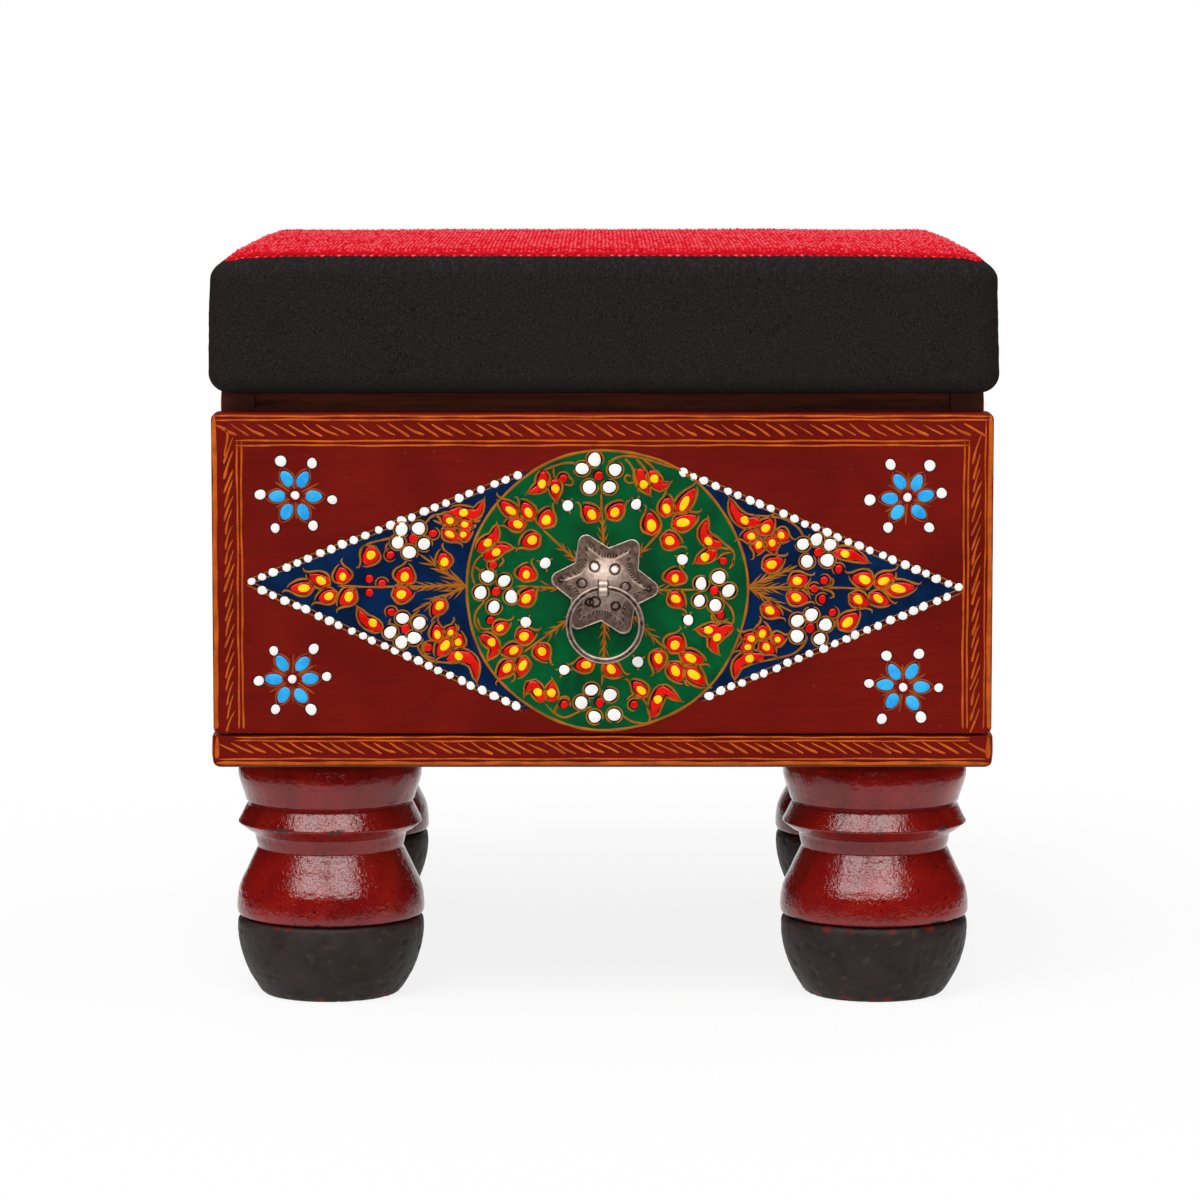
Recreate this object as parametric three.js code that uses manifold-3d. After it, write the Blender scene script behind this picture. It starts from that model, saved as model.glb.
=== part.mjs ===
// A painted cube-shaped stool on four turned legs, with one full-width drawer and a padded square seat.
// Millimetres, +Z up. The front, with the drawer, faces -Y. The origin is on the floor, in the middle
// of the stool's overall width and depth.

import * as THREE from "three";
import { mergeVertices } from "three/addons/utils/BufferGeometryUtils.js";
import Module from "manifold-3d";

const wasm = await Module();
wasm.setup();

// Fits shared by all pieces
const jointGap = 0.3; // left between pieces that are glued, screwed or bear on one another
const cutOver = 2; // how far a cutter runs past the face that it opens

// Base board, which sets the stool's width and depth
const baseWidth = 381;
const baseDepth = 381;
const baseThickness = 16;
const baseEdgeRound = 4.5; // router round-over on the lower edge
const baseCornerRound = 2;

// Carcass: sides, back and top rail
const carcassHeight = 167.5;
const carcassInset = 4.5; // from the base's side and back edges
const sideThickness = 16;
const backThickness = 16;
const backRabbetDepth = 8;
const railHeight = 26;
const railThickness = 16;
const railRecess = 1; // behind the side panels' front edges
const railTenonLength = 7;
const railTenonThickness = 8;
const railTenonShoulder = 4;
const cornerBlockLeg = 38;

// Drawer
const drawerFrontInset = 0.5; // from the base's side edges
const drawerFrontDrop = 9.9; // front's top edge under the carcass's
const drawerFrontThickness = 16;
const drawerFrontCorner = 2;
const drawerFrontBevel = 1.2;
const drawerFrontSeam = 0.9; // shadow line between the base board and the front
const drawerFrontStandOff = 1; // between the front and the side panels' edges
const drawerSideClearance = 1.5;
const drawerSideThickness = 10;
const drawerSideDrop = 3.5; // under the rail
const drawerBackThickness = 10;
const drawerBackDrop = 8; // lower than the drawer sides
const drawerRearClearance = 8.5;
const drawerTail = 12; // drawer side that runs on behind the drawer back
const drawerDadoDepth = 6; // of the sides in the front
const drawerBackDadoDepth = 4;
const drawerBottomThickness = 5;
const drawerBottomLift = 8; // bottom's underside above the sides' lower edge
const drawerGrooveDepth = 5;

// Ring pull
const pullAcross = 1.2; // right of the drawer's middle
const pullBelowMiddle = 4.9;
const plateTipRadius = 26.2;
const plateNotchRadius = 18;
const plateTipRound = 3.9;
const plateArms = 6;
const plateTurn = -6; // degrees
const plateThickness = 0.8;
const domeRadius = 12;
const domeHeight = 5.2;
const ringWireRadius = 1.6;
const ringOuterRadius = 19.3;
const ringBelowPlate = 1.1; // the ring's pivot, under the plate's middle
const eyeClearance = 0.5;
const stapleWidth = 6;
const stapleThickness = 1;
const stapleSlit = 0.5;
const stapleSplay = 13;
const stapleHoleRadius = 3.7;

// Turned legs, all alike
const legHeight = 80.5; // red turning, without the foot
const legInsetFront = 54.5; // leg axis from the base's side edge
const legInsetRear = 47.5;
const legSetback = 54.4; // leg axis from the base's front or back edge
const collarRadius = 45.8;
const collarTopRadius = 41.5;
const collarFootRadius = 41.7;
const collarShoulder = 5;
const collarHeight = 22.5;
const grooveRadius = 40.2;
const ringRimRadius = 45.7;
const ringHeight = 15.5;
const neckRadius = 37.2;
const neckHeight = 7;
const waistRadius = 36.1;
const bulbRadius = 46.85;
const bulbFootRadius = 46.3;
const bulbBellyHeight = 4.8; // widest part above the seam
const seamChamfer = 0.8;

// Round feet under the legs
const footHeight = 38.9;
const footUnderBulb = 0.25; // foot's widest radius under the bulb's
const footFlatInset = 13.1; // flat underside in from the foot's widest radius

// Dowels that tie base, leg and foot
const dowelRadius = 12;
const dowelPlay = 0.4;
const dowelFootDepth = 26;

// Wood screws
const screwShankRadius = 2.1;
const screwHeadRadius = 4.1;
const screwHeadHeight = 2.4;
const screwPoint = 5;
const screwPlay = 0.5;
const baseScrewLength = 42;
const baseScrewSpread = 50; // from the carcass's middle, front to back
const seatScrewLength = 35;
const seatScrewInset = 12; // from the inner faces of the corner

// Padded seat
const cushionSideOverhang = 1.25; // past the base's side edges
const cushionRearOverhang = 2.5;
const cushionBandHeight = 63.5; // underside to the seam of the top panel
const cushionCorner = 17;
const cushionInnerCorner = 3;
const cushionUnderRound = 13;
const cushionTopRound = 9;
const cushionSeamDrop = 0.8; // the seam lies below the top of the round
const cushionDrawIn = 1.2; // sides between the corners
const cushionBulge = 1; // band under its widest place, at the top
const cushionCrown = 2.6;
const coverThickness = 1.2;
const coverTurnUnder = 22;
const seatBoardThickness = 12;

// Heights above the floor
const legFloor = footHeight + jointGap;
const baseFloor = legFloor + legHeight + jointGap;
const baseTop = baseFloor + baseThickness;
const carcassFloor = baseTop + jointGap;
const carcassTop = carcassFloor + carcassHeight;
const drawerFloor = baseTop + jointGap;
const drawerFrontFloor = baseTop + drawerFrontSeam;
const drawerFrontTop = carcassTop - drawerFrontDrop;
const drawerSideTop = carcassTop - railHeight - drawerSideDrop;
const drawerBottomFloor = drawerFloor + drawerBottomLift;
const drawerBottomTop = drawerBottomFloor + drawerBottomThickness;
const pullHeight = (drawerFrontFloor + drawerFrontTop) / 2 - pullBelowMiddle;
const pivotHeight = pullHeight - ringBelowPlate;
const cushionFloor = carcassTop + jointGap;
const seatBoardFloor = cushionFloor + coverThickness + jointGap;
const seatBoardTop = seatBoardFloor + seatBoardThickness;
const cushionSeam = cushionFloor + cushionBandHeight;

// Depths behind the drawer's front face
const drawerFrontRear = drawerFrontThickness;
const carcassFront = drawerFrontRear + drawerFrontStandOff;
const carcassRear = baseDepth - carcassInset;
const carcassMiddle = (carcassFront + carcassRear) / 2;
const backPanelFront = carcassRear - backThickness;
const railFront = carcassFront + railRecess;
const railRear = railFront + railThickness;
const drawerRear = backPanelFront - drawerRearClearance;
const drawerBackRear = drawerRear - drawerTail;
const drawerBackFront = drawerBackRear - drawerBackThickness;
const plateFront = -jointGap - plateThickness;
const pivotDepth = plateFront - domeHeight - jointGap - ringWireRadius;
const cushionDepth = baseDepth + cushionRearOverhang;

// Half widths
const baseHalf = baseWidth / 2;
const cushionHalf = baseHalf + cushionSideOverhang;
const carcassHalf = baseHalf - carcassInset;
const bayHalf = carcassHalf - sideThickness;
const drawerHalf = bayHalf - drawerSideClearance;
const drawerInnerHalf = drawerHalf - drawerSideThickness;

// Closed bodies: joining, cutting and placing

function solidOf(geometry) {
  const bare = geometry.clone();
  bare.deleteAttribute("normal");
  bare.deleteAttribute("uv");
  const merged = mergeVertices(bare);
  return new wasm.Manifold(new wasm.Mesh({
    numProp: 3,
    vertProperties: new Float32Array(merged.attributes.position.array),
    triVerts: new Uint32Array(merged.index.array),
  }));
}

function geometryOf(body) {
  const mesh = body.getMesh();
  const geometry = new THREE.BufferGeometry();
  geometry.setAttribute("position", new THREE.BufferAttribute(mesh.vertProperties, 3));
  geometry.setIndex(new THREE.BufferAttribute(mesh.triVerts, 1));
  geometry.computeVertexNormals();
  return geometry;
}

function cut(geometry, cutters) {
  return geometryOf(cutters.reduce((body, cutter) => body.subtract(solidOf(cutter)), solidOf(geometry)));
}

function join(geometry, others) {
  return geometryOf(others.reduce((body, other) => body.add(solidOf(other)), solidOf(geometry)));
}

function common(geometry, others) {
  return geometryOf(others.reduce((body, other) => body.intersect(solidOf(other)), solidOf(geometry)));
}

function block(x, y, z) {
  const geometry = new THREE.BoxGeometry(x[1] - x[0], y[1] - y[0], z[1] - z[0]);
  return geometry.translate((x[0] + x[1]) / 2, (y[0] + y[1]) / 2, (z[0] + z[1]) / 2);
}

function upright(radius, x, y, z, segments = 24) {
  const geometry = new THREE.CylinderGeometry(radius, radius, z[1] - z[0], segments);
  return geometry.rotateX(Math.PI / 2).translate(x, y, (z[0] + z[1]) / 2);
}

// A profile of [radius, height] turned about the vertical axis.
function turned(profile, segments) {
  const points = profile.map(([radius, height]) => new THREE.Vector2(radius, height));
  return new THREE.LatheGeometry(points, segments).rotateX(Math.PI / 2);
}

// A plan outline raised between two heights.
function raised(points, z) {
  const shape = new THREE.Shape(points.map(([x, y]) => new THREE.Vector2(x, y)));
  const options = { depth: z[1] - z[0], bevelEnabled: false };
  return new THREE.ExtrudeGeometry(shape, options).translate(0, 0, z[0]);
}

// An outline drawn in depth and height, drawn out across the stool.
function drawnAcross(points, x) {
  const across = new THREE.Matrix4().makeBasis(
    new THREE.Vector3(0, 1, 0),
    new THREE.Vector3(0, 0, 1),
    new THREE.Vector3(1, 0, 0),
  );
  return raised(points, x).applyMatrix4(across);
}

// An outline drawn in width and height, drawn out front to back.
function drawnBack(points, y) {
  const back = new THREE.Matrix4().makeBasis(
    new THREE.Vector3(1, 0, 0),
    new THREE.Vector3(0, 0, 1),
    new THREE.Vector3(0, -1, 0),
  );
  return raised(points, [-y[1], -y[0]]).applyMatrix4(back);
}

// Points of an arc, both ends included, angles in degrees.
function arc(centre, radius, from, to, steps) {
  return Array.from({ length: steps + 1 }, (_, i) => {
    const angle = THREE.MathUtils.degToRad(from + ((to - from) * i) / steps);
    return [centre[0] + radius * Math.cos(angle), centre[1] + radius * Math.sin(angle)];
  });
}

// The edge of a board seen from its end, with both lower edges rounded.
function roundedUnder(low, high, floor, top, round) {
  return [
    [high, top],
    [low, top],
    ...arc([low + round, floor + round], round, 180, 270, 4),
    ...arc([high - round, floor + round], round, 270, 360, 4),
  ];
}

function roundedPlan(x, y, round) {
  return [
    ...arc([x[1] - round, y[1] - round], round, 0, 90, 3),
    ...arc([x[0] + round, y[1] - round], round, 90, 180, 3),
    ...arc([x[0] + round, y[0] + round], round, 180, 270, 3),
    ...arc([x[1] - round, y[0] + round], round, 270, 360, 3),
  ];
}

// Skins between rings of points that have as many points each and turn the same way. An open run of
// rings is closed by a fan at each end, and a run that closes on itself is a tube.
function skinned(rings, closesOnItself) {
  const count = rings[0].length;
  const positions = rings.flat(2);
  const triangles = [];
  const bands = closesOnItself ? rings.length : rings.length - 1;
  for (let band = 0; band < bands; band += 1) {
    const lower = band * count;
    const upper = ((band + 1) % rings.length) * count;
    for (let i = 0; i < count; i += 1) {
      const next = (i + 1) % count;
      triangles.push(lower + i, lower + next, upper + next);
      triangles.push(lower + i, upper + next, upper + i);
    }
  }
  if (!closesOnItself) {
    for (const [ring, start, upward] of [[rings[0], 0, false], [rings.at(-1), bands * count, true]]) {
      const middle = [0, 1, 2].map((axis) => ring.reduce((sum, p) => sum + p[axis], 0) / count);
      const tip = positions.length / 3;
      positions.push(...middle);
      for (let i = 0; i < count; i += 1) {
        const next = (i + 1) % count;
        triangles.push(...(upward ? [start + i, start + next, tip] : [start + next, start + i, tip]));
      }
    }
  }
  const geometry = new THREE.BufferGeometry();
  geometry.setAttribute("position", new THREE.Float32BufferAttribute(positions, 3));
  geometry.setIndex(triangles);
  geometry.computeVertexNormals();
  return geometry;
}

// Colours and finishes

function finish(color, roughness, metalness = 0) {
  return new THREE.MeshStandardMaterial({ color, roughness, metalness });
}

const paintedWood = finish(0x6f1510, 0.5);
const brownWood = finish(0x3a1a10, 0.7);
const paleWood = finish(0xa9825a, 0.75);
const redLacquer = finish(0x7d150f, 0.25);
const blackPaint = finish(0x1e1a19, 0.55);
const agedSilver = finish(0x9a9088, 0.35, 1);
const steel = finish(0x8c8c8c, 0.4, 1);
const blackCloth = finish(0x1e1c1c, 0.95);
const redWeave = finish(0xd0131f, 0.95);
const foam = finish(0xe6d9a8, 0.95);

const stool = new THREE.Group();

function add(name, geometry, material) {
  const mesh = new THREE.Mesh(geometry, material);
  mesh.name = name;
  stool.add(mesh);
}

// Places of the legs and screws, shared by the pieces that they pass through

const legPlaces = [];
for (const [row, spread, y] of [
  ["front", baseHalf - legInsetFront, legSetback],
  ["rear", baseHalf - legInsetRear, baseDepth - legSetback],
]) {
  legPlaces.push({ name: `${row}_left`, x: -spread, y });
  legPlaces.push({ name: `${row}_right`, x: spread, y });
}

const baseScrewPlaces = [];
const cornerPlaces = [];
for (const [end, sign] of [["front", -1], ["rear", 1]]) {
  for (const [side, across] of [["left", -1], ["right", 1]]) {
    baseScrewPlaces.push({
      name: `${end}_${side}`,
      x: across * (carcassHalf - sideThickness / 2),
      y: carcassMiddle + sign * baseScrewSpread,
    });
    const innerFace = sign < 0 ? railRear : backPanelFront;
    cornerPlaces.push({ name: `${end}_${side}`, across, inward: -sign, x: across * bayHalf, y: innerFace });
  }
}

// Screws

function screw(length) {
  return turned([
    [0, 0],
    [screwHeadRadius, 0],
    [screwShankRadius, screwHeadHeight],
    [screwShankRadius, length - screwPoint],
    [0, length],
  ], 12);
}

function screwBore(x, y, z) {
  return upright(screwShankRadius + screwPlay, x, y, z, 12);
}

function countersink(x, y, floor) {
  const outer = screwHeadRadius + screwPlay;
  const inner = screwShankRadius + screwPlay;
  return turned([
    [0, -cutOver],
    [outer, -cutOver],
    [outer, screwPlay],
    [inner, screwHeadHeight + screwPlay],
    [0, screwHeadHeight + screwPlay],
  ], 12).translate(x, y, floor);
}

// Legs, feet and dowels

function legProfile() {
  const top = legHeight;
  const collarFloor = top - collarHeight;
  const ringFloor = collarFloor - ringHeight;
  const neckFloor = ringFloor - neckHeight;
  const bore = dowelRadius + dowelPlay;
  const bulbShares = [[0.14, 0.17], [0.3, 0.39], [0.48, 0.63], [0.66, 0.87], [0.84, 0.97]];
  const bulb = bulbShares.map(([down, out]) => [
    waistRadius + (bulbRadius - waistRadius) * out,
    neckFloor - (neckFloor - bulbBellyHeight) * down,
  ]);
  return [
    [bore, 0],
    [bulbFootRadius - seamChamfer, 0],
    [bulbFootRadius, seamChamfer],
    [bulbRadius, bulbBellyHeight],
    ...bulb.reverse(),
    [waistRadius, neckFloor],
    [neckRadius, neckFloor + neckHeight / 3],
    [neckRadius, ringFloor],
    [ringRimRadius - seamChamfer, ringFloor + ringHeight * 0.25],
    [ringRimRadius, ringFloor + ringHeight * 0.35],
    [(ringRimRadius + grooveRadius) / 2, ringFloor + ringHeight * 0.8],
    [grooveRadius, collarFloor],
    [collarFootRadius, collarFloor + seamChamfer],
    [(collarFootRadius + collarRadius) / 2, collarFloor + collarHeight * 0.25],
    [collarRadius, collarFloor + collarHeight * 0.6],
    [collarRadius, top - collarShoulder],
    [(collarTopRadius + 3 * collarRadius) / 4, top - collarShoulder / 3],
    [collarTopRadius, top],
    [bore, top],
    [bore, 0],
  ];
}

function footProfile() {
  const bore = dowelRadius + dowelPlay;
  const boreFloor = footHeight - dowelFootDepth - jointGap;
  const belly = footHeight * 0.84;
  const footRadius = bulbRadius - footUnderBulb;
  const footFlatRadius = footRadius - footFlatInset;
  const roundShares = [[0.08, 0.23], [0.2, 0.38], [0.36, 0.62], [0.56, 0.81], [0.78, 0.94]];
  const round = roundShares.map(([up, out]) => [
    footFlatRadius + (footRadius - footFlatRadius) * out,
    belly * up,
  ]);
  return [
    [0, 0],
    [footFlatRadius, 0],
    ...round,
    [footRadius, belly],
    [bulbFootRadius, footHeight - seamChamfer],
    [bulbFootRadius - seamChamfer, footHeight],
    [bore, footHeight],
    [bore, boreFloor],
    [0, boreFloor],
  ];
}

function addLegs() {
  for (const { name, x, y } of legPlaces) {
    add(`foot_${name}`, turned(footProfile(), 28).translate(x, y, 0), blackPaint);
    add(`leg_${name}`, turned(legProfile(), 28).translate(x, y, legFloor), redLacquer);
    const reach = [footHeight - dowelFootDepth, baseTop - jointGap];
    add(`leg_dowel_${name}`, upright(dowelRadius, x, y, reach, 20), paleWood);
  }
}

// Base board

function addBaseBoard() {
  const z = [baseFloor, baseTop];
  const edges = [
    drawnBack(roundedUnder(-baseHalf, baseHalf, ...z, baseEdgeRound), [-cutOver, baseDepth + cutOver]),
    drawnAcross(roundedUnder(0, baseDepth, ...z, baseEdgeRound), [-baseHalf - cutOver, baseHalf + cutOver]),
  ];
  const plan = raised(roundedPlan([-baseHalf, baseHalf], [0, baseDepth], baseCornerRound), z);
  const through = [baseFloor - cutOver, baseTop + cutOver];
  const bores = [
    ...legPlaces.map(({ x, y }) => upright(dowelRadius + dowelPlay, x, y, through)),
    ...baseScrewPlaces.map(({ x, y }) => screwBore(x, y, through)),
    ...baseScrewPlaces.map(({ x, y }) => countersink(x, y, baseFloor)),
  ];
  add("base_board", cut(common(plan, edges), bores), paintedWood);
  for (const { name, x, y } of baseScrewPlaces) {
    add(`base_screw_${name}`, screw(baseScrewLength).translate(x, y, baseFloor), steel);
  }
}

// Carcass

function addSidePanels() {
  for (const [side, across] of [["left", -1], ["right", 1]]) {
    const rabbetFront = backPanelFront - jointGap;
    const outline = [
      [bayHalf, carcassFront],
      [carcassHalf, carcassFront],
      [carcassHalf, carcassRear],
      [bayHalf + backRabbetDepth, carcassRear],
      [bayHalf + backRabbetDepth, rabbetFront],
      [bayHalf, rabbetFront],
    ].map(([x, y]) => [across * x, y]);
    const panel = raised(across > 0 ? outline : outline.reverse(), [carcassFloor, carcassTop]);
    const mortise = block(
      [bayHalf - cutOver, bayHalf + railTenonLength].map((x) => across * x).sort((a, b) => a - b),
      tenonDepths(jointGap),
      tenonHeights(jointGap),
    );
    const pilots = baseScrewPlaces
      .filter(({ x }) => x * across > 0)
      .map(({ x, y }) => screwBore(x, y, [carcassFloor - cutOver, baseFloor + baseScrewLength + jointGap]));
    add(`side_panel_${side}`, cut(panel, [mortise, ...pilots]), paintedWood);
  }
}

function tenonDepths(play) {
  const middle = (railFront + railRear) / 2;
  return [middle - railTenonThickness / 2 - play, middle + railTenonThickness / 2 + play];
}

function tenonHeights(play) {
  const floor = carcassTop - railHeight + railTenonShoulder;
  return [floor - play, carcassTop - railTenonShoulder + play];
}

function addRail() {
  const reach = bayHalf - jointGap;
  const tenonReach = bayHalf + railTenonLength - jointGap;
  const rail = block([-reach, reach], [railFront, railRear], [carcassTop - railHeight, carcassTop]);
  const tenons = block([-tenonReach, tenonReach], tenonDepths(0), tenonHeights(0));
  add("front_top_rail", join(rail, [tenons]), brownWood);
}

function addBackPanel() {
  const reach = bayHalf + backRabbetDepth - jointGap;
  const panel = block([-reach, reach], [backPanelFront, carcassRear], [carcassFloor, carcassTop]);
  add("back_panel", panel, paintedWood);
}

function addCornerBlocks() {
  const z = [carcassTop - railHeight, carcassTop];
  for (const { name, across, inward, x, y } of cornerPlaces) {
    const corner = [x - across * jointGap, y + inward * jointGap];
    const outline = [
      corner,
      [corner[0] - across * cornerBlockLeg, corner[1]],
      [corner[0], corner[1] + inward * cornerBlockLeg],
    ];
    const turnsLeft = across * inward < 0;
    const wedge = raised(turnsLeft ? outline : outline.reverse(), z);
    const screwX = x - across * seatScrewInset;
    const screwY = y + inward * seatScrewInset;
    const bore = screwBore(screwX, screwY, [z[0] - cutOver, z[1] + cutOver]);
    add(`corner_block_${name}`, cut(wedge, [bore, countersink(screwX, screwY, z[0])]), brownWood);
    add(`seat_screw_${name}`, screw(seatScrewLength).translate(screwX, screwY, z[0]), steel);
  }
}

// Drawer

function drawerFront() {
  const half = baseHalf - drawerFrontInset - drawerFrontBevel;
  const z = [drawerFrontFloor + drawerFrontBevel, drawerFrontTop - drawerFrontBevel];
  const outline = roundedPlan([-half, half], z, drawerFrontCorner);
  const shape = new THREE.Shape(outline.map(([x, y]) => new THREE.Vector2(x, y)));
  const panel = new THREE.ExtrudeGeometry(shape, {
    depth: drawerFrontThickness - 2 * drawerFrontBevel,
    bevelThickness: drawerFrontBevel,
    bevelSize: drawerFrontBevel,
    bevelSegments: 2,
  });
  panel.rotateX(Math.PI / 2).translate(0, drawerFrontThickness - drawerFrontBevel, 0);
  const behind = drawerFrontRear + cutOver;
  const grooveReach = drawerInnerHalf + drawerGrooveDepth;
  const cutters = [-1, 1].map((across) => block(
    [drawerInnerHalf - jointGap, drawerHalf + jointGap].map((x) => across * x).sort((a, b) => a - b),
    [drawerFrontRear - drawerDadoDepth, behind],
    [drawerFrontFloor - cutOver, drawerSideTop + jointGap],
  ));
  cutters.push(block(
    [-grooveReach, grooveReach],
    [drawerFrontRear - drawerGrooveDepth, behind],
    [drawerBottomFloor - jointGap, drawerBottomTop + jointGap],
  ));
  const hole = upright(stapleHoleRadius, 0, 0, [-behind, behind], 20).rotateX(Math.PI / 2);
  cutters.push(hole.translate(pullAcross, 0, pivotHeight));
  return cut(panel, cutters);
}

function drawerSide(across) {
  const x = (inner, outer) => [inner, outer].map((value) => across * value).sort((a, b) => a - b);
  const front = drawerFrontRear - drawerDadoDepth + jointGap;
  const side = block(x(drawerInnerHalf, drawerHalf), [front, drawerRear], [drawerFloor, drawerSideTop]);
  const groove = block(
    x(drawerInnerHalf - cutOver, drawerInnerHalf + drawerGrooveDepth),
    [front - cutOver, drawerRear + cutOver],
    [drawerBottomFloor - jointGap, drawerBottomTop + jointGap],
  );
  const dado = block(
    x(drawerInnerHalf - cutOver, drawerInnerHalf + drawerBackDadoDepth),
    [drawerBackFront - jointGap, drawerBackRear + jointGap],
    [drawerBottomTop, drawerSideTop + cutOver],
  );
  return cut(side, [groove, dado]);
}

function addDrawer() {
  add("drawer_front", drawerFront(), paintedWood);
  add("drawer_side_left", drawerSide(-1), paleWood);
  add("drawer_side_right", drawerSide(1), paleWood);
  const backReach = drawerInnerHalf + drawerBackDadoDepth - jointGap;
  add("drawer_back", block(
    [-backReach, backReach],
    [drawerBackFront, drawerBackRear],
    [drawerBottomTop + jointGap, drawerSideTop - drawerBackDrop],
  ), paleWood);
  const bottomReach = drawerInnerHalf + drawerGrooveDepth - jointGap;
  add("drawer_bottom", block(
    [-bottomReach, bottomReach],
    [drawerFrontRear - drawerGrooveDepth + jointGap, drawerRear - jointGap],
    [drawerBottomFloor, drawerBottomTop],
  ), paleWood);
}

// Ring pull

// A star whose arms end in round tips, each joined to the notches by lines that touch its round.
function starOutline() {
  const tipCentre = plateTipRadius - plateTipRound;
  const halfArm = Math.PI / plateArms;
  const toNotch = [plateNotchRadius * Math.cos(halfArm) - tipCentre, plateNotchRadius * Math.sin(halfArm)];
  const bearing = Math.atan2(toNotch[1], toNotch[0]);
  const touch = THREE.MathUtils.radToDeg(bearing - Math.acos(plateTipRound / Math.hypot(...toNotch)));
  const points = [];
  for (let arm = 0; arm < plateArms; arm += 1) {
    const turn = plateTurn + (360 * arm) / plateArms;
    const angle = THREE.MathUtils.degToRad(turn);
    const centre = [tipCentre * Math.cos(angle), tipCentre * Math.sin(angle)];
    points.push(...arc(centre, plateTipRound, turn - touch, turn + touch, 5));
    points.push([plateNotchRadius * Math.cos(angle + halfArm), plateNotchRadius * Math.sin(angle + halfArm)]);
  }
  return points;
}

// A spherical cap that stands on height zero.
function cap(radius, height) {
  const sphere = (radius * radius + height * height) / (2 * height);
  const reach = THREE.MathUtils.radToDeg(Math.asin(radius / sphere));
  const dome = arc([0, height - sphere], sphere, 90 - reach, 90, 5);
  dome[dome.length - 1][0] = 0;
  return turned([[0, -plateThickness / 2], [radius, -plateThickness / 2], ...dome], 24);
}

function pullBackplate() {
  const star = raised(starOutline(), [0, plateThickness]);
  const outside = cap(domeRadius, domeHeight).translate(0, 0, plateThickness);
  const inside = cap(domeRadius - plateThickness, domeHeight);
  const clearBehind = upright(domeRadius - plateThickness, 0, 0, [-cutOver, 0]);
  const slotHalf = stapleWidth / 2 + jointGap;
  const eyeOuter = ringWireRadius + eyeClearance + stapleThickness;
  const slotHeights = [-1, 1].map((end) => end * (eyeOuter - jointGap) - ringBelowPlate);
  const slot = block([-slotHalf, slotHalf], slotHeights, [-cutOver, domeHeight + plateThickness + cutOver]);
  const plate = cut(join(star, [outside]), [inside, clearBehind, slot]);
  return plate.rotateX(Math.PI / 2).translate(pullAcross, -jointGap, pullHeight);
}

// A ribbon bent round the ring's wire, with both legs through the drawer front and splayed behind it.
function pullStaple() {
  const inner = ringWireRadius + eyeClearance;
  const outer = inner + stapleThickness;
  const near = stapleSlit / 2;
  const far = near + stapleThickness;
  const bend = drawerFrontRear + jointGap - pivotDepth;
  const tail = bend + stapleThickness;
  const outerStart = THREE.MathUtils.radToDeg(Math.asin(far / outer));
  const innerStart = THREE.MathUtils.radToDeg(Math.asin(near / inner));
  const outline = [
    ...arc([0, 0], outer, outerStart, 360 - outerStart, 18),
    [bend, -far],
    [bend, -stapleSplay],
    [tail, -stapleSplay],
    [tail, -near],
    ...arc([0, 0], inner, 360 - innerStart, innerStart, 18),
    [tail, near],
    [tail, stapleSplay],
    [bend, stapleSplay],
    [bend, far],
  ];
  const ribbon = drawnAcross(outline, [-stapleWidth / 2, stapleWidth / 2]);
  return ribbon.translate(pullAcross, pivotDepth, pivotHeight);
}

function pullRing() {
  const middle = ringOuterRadius - ringWireRadius;
  const ring = new THREE.TorusGeometry(middle, ringWireRadius, 8, 40);
  return ring.rotateX(Math.PI / 2).translate(pullAcross, pivotDepth, pivotHeight - middle);
}

function addPull() {
  add("pull_backplate", pullBackplate(), agedSilver);
  add("pull_staple", pullStaple(), agedSilver);
  add("pull_ring", pullRing(), agedSilver);
}

// Padded seat

// One ring round the cushion, a distance in from its widest outline. The sides are drawn in between
// the corners.
function cushionRing(inset, z) {
  const halves = [cushionHalf - inset, cushionDepth / 2 - inset];
  const corner = Math.max(cushionCorner - inset, cushionInnerCorner);
  const sideShares = [-0.6, -0.2, 0.2, 0.6];
  const points = [];
  for (const turn of [0, 90, 180, 270]) {
    const alongX = turn % 180 !== 0;
    const out = alongX ? halves[1] : halves[0];
    const along = (alongX ? halves[0] : halves[1]) - corner;
    const local = [
      ...sideShares.map((share) => [out - cushionDrawIn * (1 - share * share), along * share]),
      ...arc([out - corner, along], corner, 0, 90, 4),
    ];
    const angle = THREE.MathUtils.degToRad(turn);
    for (const [a, b] of local) {
      const x = a * Math.cos(angle) - b * Math.sin(angle);
      const y = a * Math.sin(angle) + b * Math.cos(angle);
      points.push([x, y + cushionDepth / 2, z]);
    }
  }
  return points;
}

// The band's cut section as [inset, height], from the turned-under edge round to the top seam, for
// the face that lies a distance under the cloth's outer face.
function bandSection(under) {
  const lowCentre = [cushionUnderRound, cushionFloor + cushionUnderRound];
  const topCentre = [cushionBulge + cushionTopRound, cushionSeam + cushionSeamDrop - cushionTopRound];
  const seamAngle = THREE.MathUtils.radToDeg(Math.acos(1 - cushionSeamDrop / cushionTopRound));
  return [
    [coverTurnUnder, cushionFloor + under],
    ...arc(lowCentre, cushionUnderRound - under, 270, 180, 4),
    ...arc(topCentre, cushionTopRound - under, 180, 90 - seamAngle, 4),
  ];
}

// How far in from the cushion's widest outline the top seam lies.
function seamInset() {
  return bandSection(0).at(-1)[0];
}

function addBorderCover() {
  const section = [...bandSection(0), ...bandSection(coverThickness).reverse()];
  add("seat_border_cover", skinned(section.map(([inset, z]) => cushionRing(inset, z)), true), blackCloth);
}

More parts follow.
